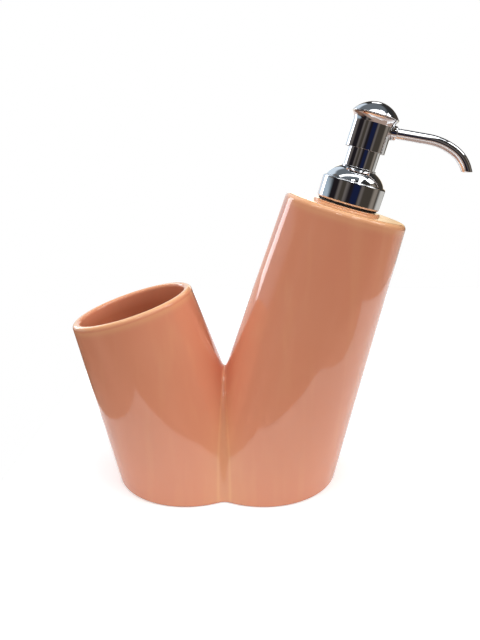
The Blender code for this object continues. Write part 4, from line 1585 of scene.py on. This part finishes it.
@dataclass
class Studio:
    """Camera, a white sheet to stand on, soft lamps and the dim room that gloss shows."""

    eye: Point = (0.01804, -0.30411, 0.18790)
    pitch: float = math.radians(17.457)
    roll: float = math.radians(-0.955)
    yaw: float = math.radians(-1.70)
    lens: float = 32.304
    sensor: float = 36.0
    nearest: float = 0.01
    sheet: tuple[tuple[float, float], ...] = (
        (-0.130, 0.420), (-0.131, -0.060), (-0.124, -0.216), (0.020, -0.214), (0.120, -0.222),
        (0.150, -0.205), (0.172, -0.150), (0.205, -0.100), (0.245, -0.083), (0.290, -0.100),
        (0.330, -0.128), (0.332, 0.420))
    sheet_level: float = -0.0002
    sheet_whites: tuple[Colour, Colour] = ((0.84, 0.84, 0.84), (0.88, 0.88, 0.88))
    sheet_roughness: float = 0.6
    sheet_grain: Grain = Grain(0.004)
    sheet_glow: float = 0.33
    sheet_gloss_share: float = 0.34
    sheet_bounce_share: float = 0.45
    sheet_steep: Colour = (0.42, 0.31, 0.26)
    steep_span: Span = (0.12, 0.34, 1.0, 0.0)
    stripes: tuple[tuple[float, float, Tone], ...] = (
        (0.00, 0.14, Tone.DAYLIGHT), (0.17, 0.22, Tone.GREY), (0.25, 0.32, Tone.DARK),
        (0.34, 0.35, Tone.GREY), (0.37, 0.40, Tone.BROWN), (0.41, 0.42, Tone.GREY),
        (0.45, 0.54, Tone.DARK), (0.56, 0.57, Tone.GREY), (0.59, 0.68, Tone.BROWN),
        (0.71, 0.74, Tone.TAN), (0.77, 0.92, Tone.BROWN), (0.96, 1.00, Tone.GREY),
    )
    patches: tuple[Patch, ...] = (
        Patch((0.480, 0.543), (-0.13, 0.12), (0.01, 0.015, 0.05)),
        Patch((0.26, 1.10), (0.42, 0.80), (0.035, 0.035, 0.035), 0.04),
        Patch((-0.10, 0.26), (-1.10, -0.17), (0.26, 0.14, 0.095), 0.04),
        Patch((-0.10, 0.135), (-0.20, 0.01), (0.95, 0.80, 0.74), 0.03),
        Patch((0.79, 0.965), (-0.42, -0.17), (0.62, 0.60, 0.56), 0.02),
        Patch((0.13, 0.245), (-0.08, 0.24), (0.42, 0.52, 0.60), 0.02),
        Patch((0.93, 0.970), (-0.08, 0.06), (0.85, 0.66, 0.40), 0.01),
        Patch((0.965, 1.10), (-0.02, 0.16), (2.1, 2.0, 1.65), 0.008),
        Patch((0.28, 1.10), (-1.10, -0.36), (0.46, 0.33, 0.27), 0.04),
        Patch((-0.10, 0.30), (-1.10, -0.48), (0.46, 0.33, 0.27), 0.04),
        Patch((-0.10, 1.10), (0.75, 1.10), (0.16, 0.18, 0.20), 0.05),
    )
    lamps: tuple[Softbox, ...] = (
        Softbox("ceiling_panel", (0.12, -0.17, 1.35), (0.12, -0.17, 0.0), 2.0, 0.30, 2.3),
        Softbox("right_window", (1.03, -0.06, 0.88), (0.06, 0.0, 0.15), 0.50, 0.40, 3.2),
        Softbox("ceiling_strip", (0.74, -0.90, 1.34), (0.74, -0.90, 0.0), 0.34, 1.9, 2.0),
        Softbox("ceiling_fill", (0.25, -0.08, 1.33), (0.25, -0.08, 0.0), 2.4, 1.8, 1.35,
                in_gloss=False),
        Softbox("ceiling_lamp", (0.02, -0.95, 1.20), (0.02, 0.0, 0.10), 0.24, 0.12, 14.0),
        Softbox("back_lamp", (0.34, 0.80, 0.86), (0.08, 0.0, 0.20), 0.22, 0.22, 2.6),
        Softbox("left_window", (-0.83, 0.86, 0.45), (0.05, 0.0, 0.14), 0.36, 0.70, 2.9,
                (1.0, 0.95, 1.0)),
        Softbox("front_fill", (0.10, -1.20, 0.45), (0.02, 0.0, 0.08), 0.8, 0.6, 0.10,
                in_gloss=False),
        Softbox("left_fill", (-0.95, -0.45, 0.30), (-0.03, 0.0, 0.08), 0.5, 0.5, 2.75,
                in_gloss=False),
        Softbox("right_fill", (0.95, -0.60, 0.35), (0.05, 0.0, 0.10), 0.5, 0.5, 1.6,
                in_gloss=False),
    )

    def build(self) -> None:
        """Set the studio up."""
        self.build_camera()
        self.build_sheet()
        for lamp in self.lamps:
            lamp.build()
        self.build_room()
        bpy.context.scene.view_settings.view_transform = "Standard"

    def build_camera(self) -> None:
        """Place the camera at the photograph's viewing angle."""
        ahead = Vector((math.sin(self.yaw) * math.cos(self.pitch),
                        math.cos(self.yaw) * math.cos(self.pitch), -math.sin(self.pitch)))
        right = Vector((math.cos(self.yaw), -math.sin(self.yaw), 0.0))
        above = right.cross(ahead)
        across = math.cos(self.roll) * right + math.sin(self.roll) * above
        upward = -math.sin(self.roll) * right + math.cos(self.roll) * above
        lens = bpy.data.cameras.new("studio_camera")
        lens.sensor_width = self.sensor
        lens.lens = self.lens
        lens.clip_start = self.nearest
        holder = bpy.data.objects.new("studio_camera", lens)
        bpy.context.scene.collection.objects.link(holder)
        turn = Matrix((across, upward, -ahead)).transposed().to_4x4()
        holder.matrix_world = Matrix.Translation(self.eye) @ turn
        bpy.context.scene.camera = holder

    def build_sheet(self) -> None:
        """Lay the white sheet, whose soft shadow shows and whose edge shows only in gloss."""
        piece = add_piece("white_sheet", [(x, y, self.sheet_level) for x, y in self.sheet],
                          [tuple(range(len(self.sheet)))])
        recipe = Recipe("sheet_white")
        rays = recipe.node("ShaderNodeLightPath").outputs
        facing = recipe.node("ShaderNodeLayerWeight").outputs["Facing"]
        steep = recipe.span(facing, *self.steep_span)
        glare = recipe.math("MULTIPLY", steep, rays["Is Glossy Ray"])
        white = recipe.mixed(recipe.noise(self.sheet_grain), *self.sheet_whites)
        recipe.shade(Base_Color=recipe.mixed(glare, white, self.sheet_steep),
                     Roughness=self.sheet_roughness)
        flat = recipe.math("SUBTRACT", rays["Is Glossy Ray"], glare)
        seen = recipe.math("MAXIMUM", rays["Is Camera Ray"],
                           recipe.math("MULTIPLY", flat, self.sheet_gloss_share))
        lit = recipe.math("MULTIPLY_ADD", rays["Is Diffuse Ray"], self.sheet_bounce_share, seen)
        glow = recipe.node("ShaderNodeEmission",
                           {"Strength": recipe.math("MULTIPLY", lit, self.sheet_glow)})
        both = recipe.node("ShaderNodeAddShader", {0: recipe.shader.outputs["BSDF"],
                                                   1: glow.outputs["Emission"]})
        recipe.feed(recipe.tree.nodes["Material Output"].inputs["Surface"],
                    both.outputs["Shader"])
        piece.data.materials.append(recipe.material)

    def build_room(self) -> None:
        """Make the room: white to the eye, and dim with upright stripes all round to gloss."""
        world = bpy.data.worlds.new("studio_room")
        bpy.context.scene.world = world
        world.use_nodes = True
        world.node_tree.nodes.clear()
        plan = NodePlan(world.node_tree)
        place = plan.node("ShaderNodeTexCoord").outputs["Generated"]
        way = plan.node("ShaderNodeSeparateXYZ", {"Vector": place}).outputs
        compass = plan.math("ARCTAN2", way["X"], plan.math("MULTIPLY", way["Y"], -1.0))
        share = plan.span(compass, -math.pi, math.pi)
        walls = plan.node("ShaderNodeValToRGB", {"Fac": share})
        self.paint_walls(walls.color_ramp)
        colour = walls.outputs["Color"]
        for patch in self.patches:
            colour = patch.paint(plan, colour, way["Z"], share)
        room = plan.node("ShaderNodeBackground", {"Color": colour})
        shown = plan.node("ShaderNodeBackground", {"Color": (1.0, 1.0, 1.0)})
        rays = plan.node("ShaderNodeLightPath").outputs
        seen = plan.math("MAXIMUM", rays["Is Camera Ray"], rays["Is Transmission Ray"])
        by_eye = plan.node("ShaderNodeMixShader", {0: seen, 1: room.outputs[0],
                                                   2: shown.outputs[0]})
        plan.node("ShaderNodeOutputWorld", {"Surface": by_eye.outputs[0]})

    def paint_walls(self, ramp: bpy.types.ColorRamp) -> None:
        """Set the room's stripes by compass, from behind, past the left, to behind again.

        Args:
            ramp: Colour ramp to fill.
        """
        while len(ramp.elements) > 1:
            ramp.elements.remove(ramp.elements[-1])
        ends = [(place, tone.value) for start, end, tone in self.stripes for place in (start, end)]
        first, *others = ends
        ramp.elements[0].position = first[0]
        ramp.elements[0].color = (*first[1], 1.0)
        for place, colour in others:
            ramp.elements.new(place).color = (*colour, 1.0)


def main() -> None:
    """Build the dispenser's looks in order, then the studio."""
    logging.basicConfig(level=logging.INFO, format="%(name)s: %(message)s")
    for leftover in list(bpy.data.objects):
        bpy.data.objects.remove(leftover, do_unlink=True)
    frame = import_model()
    body = CeramicBody()
    body.build()
    axis = body.pump_frame
    heights = PumpHeights()
    NeckGasket(heights).build(axis)
    ScrewCollar(heights).build(axis)
    Riser(heights).build(axis)
    PumpHead(heights).build(axis)
    PumpWorks().dress_all(frame["nodes"])
    Studio().build()


if __name__ == "__main__":
    main()
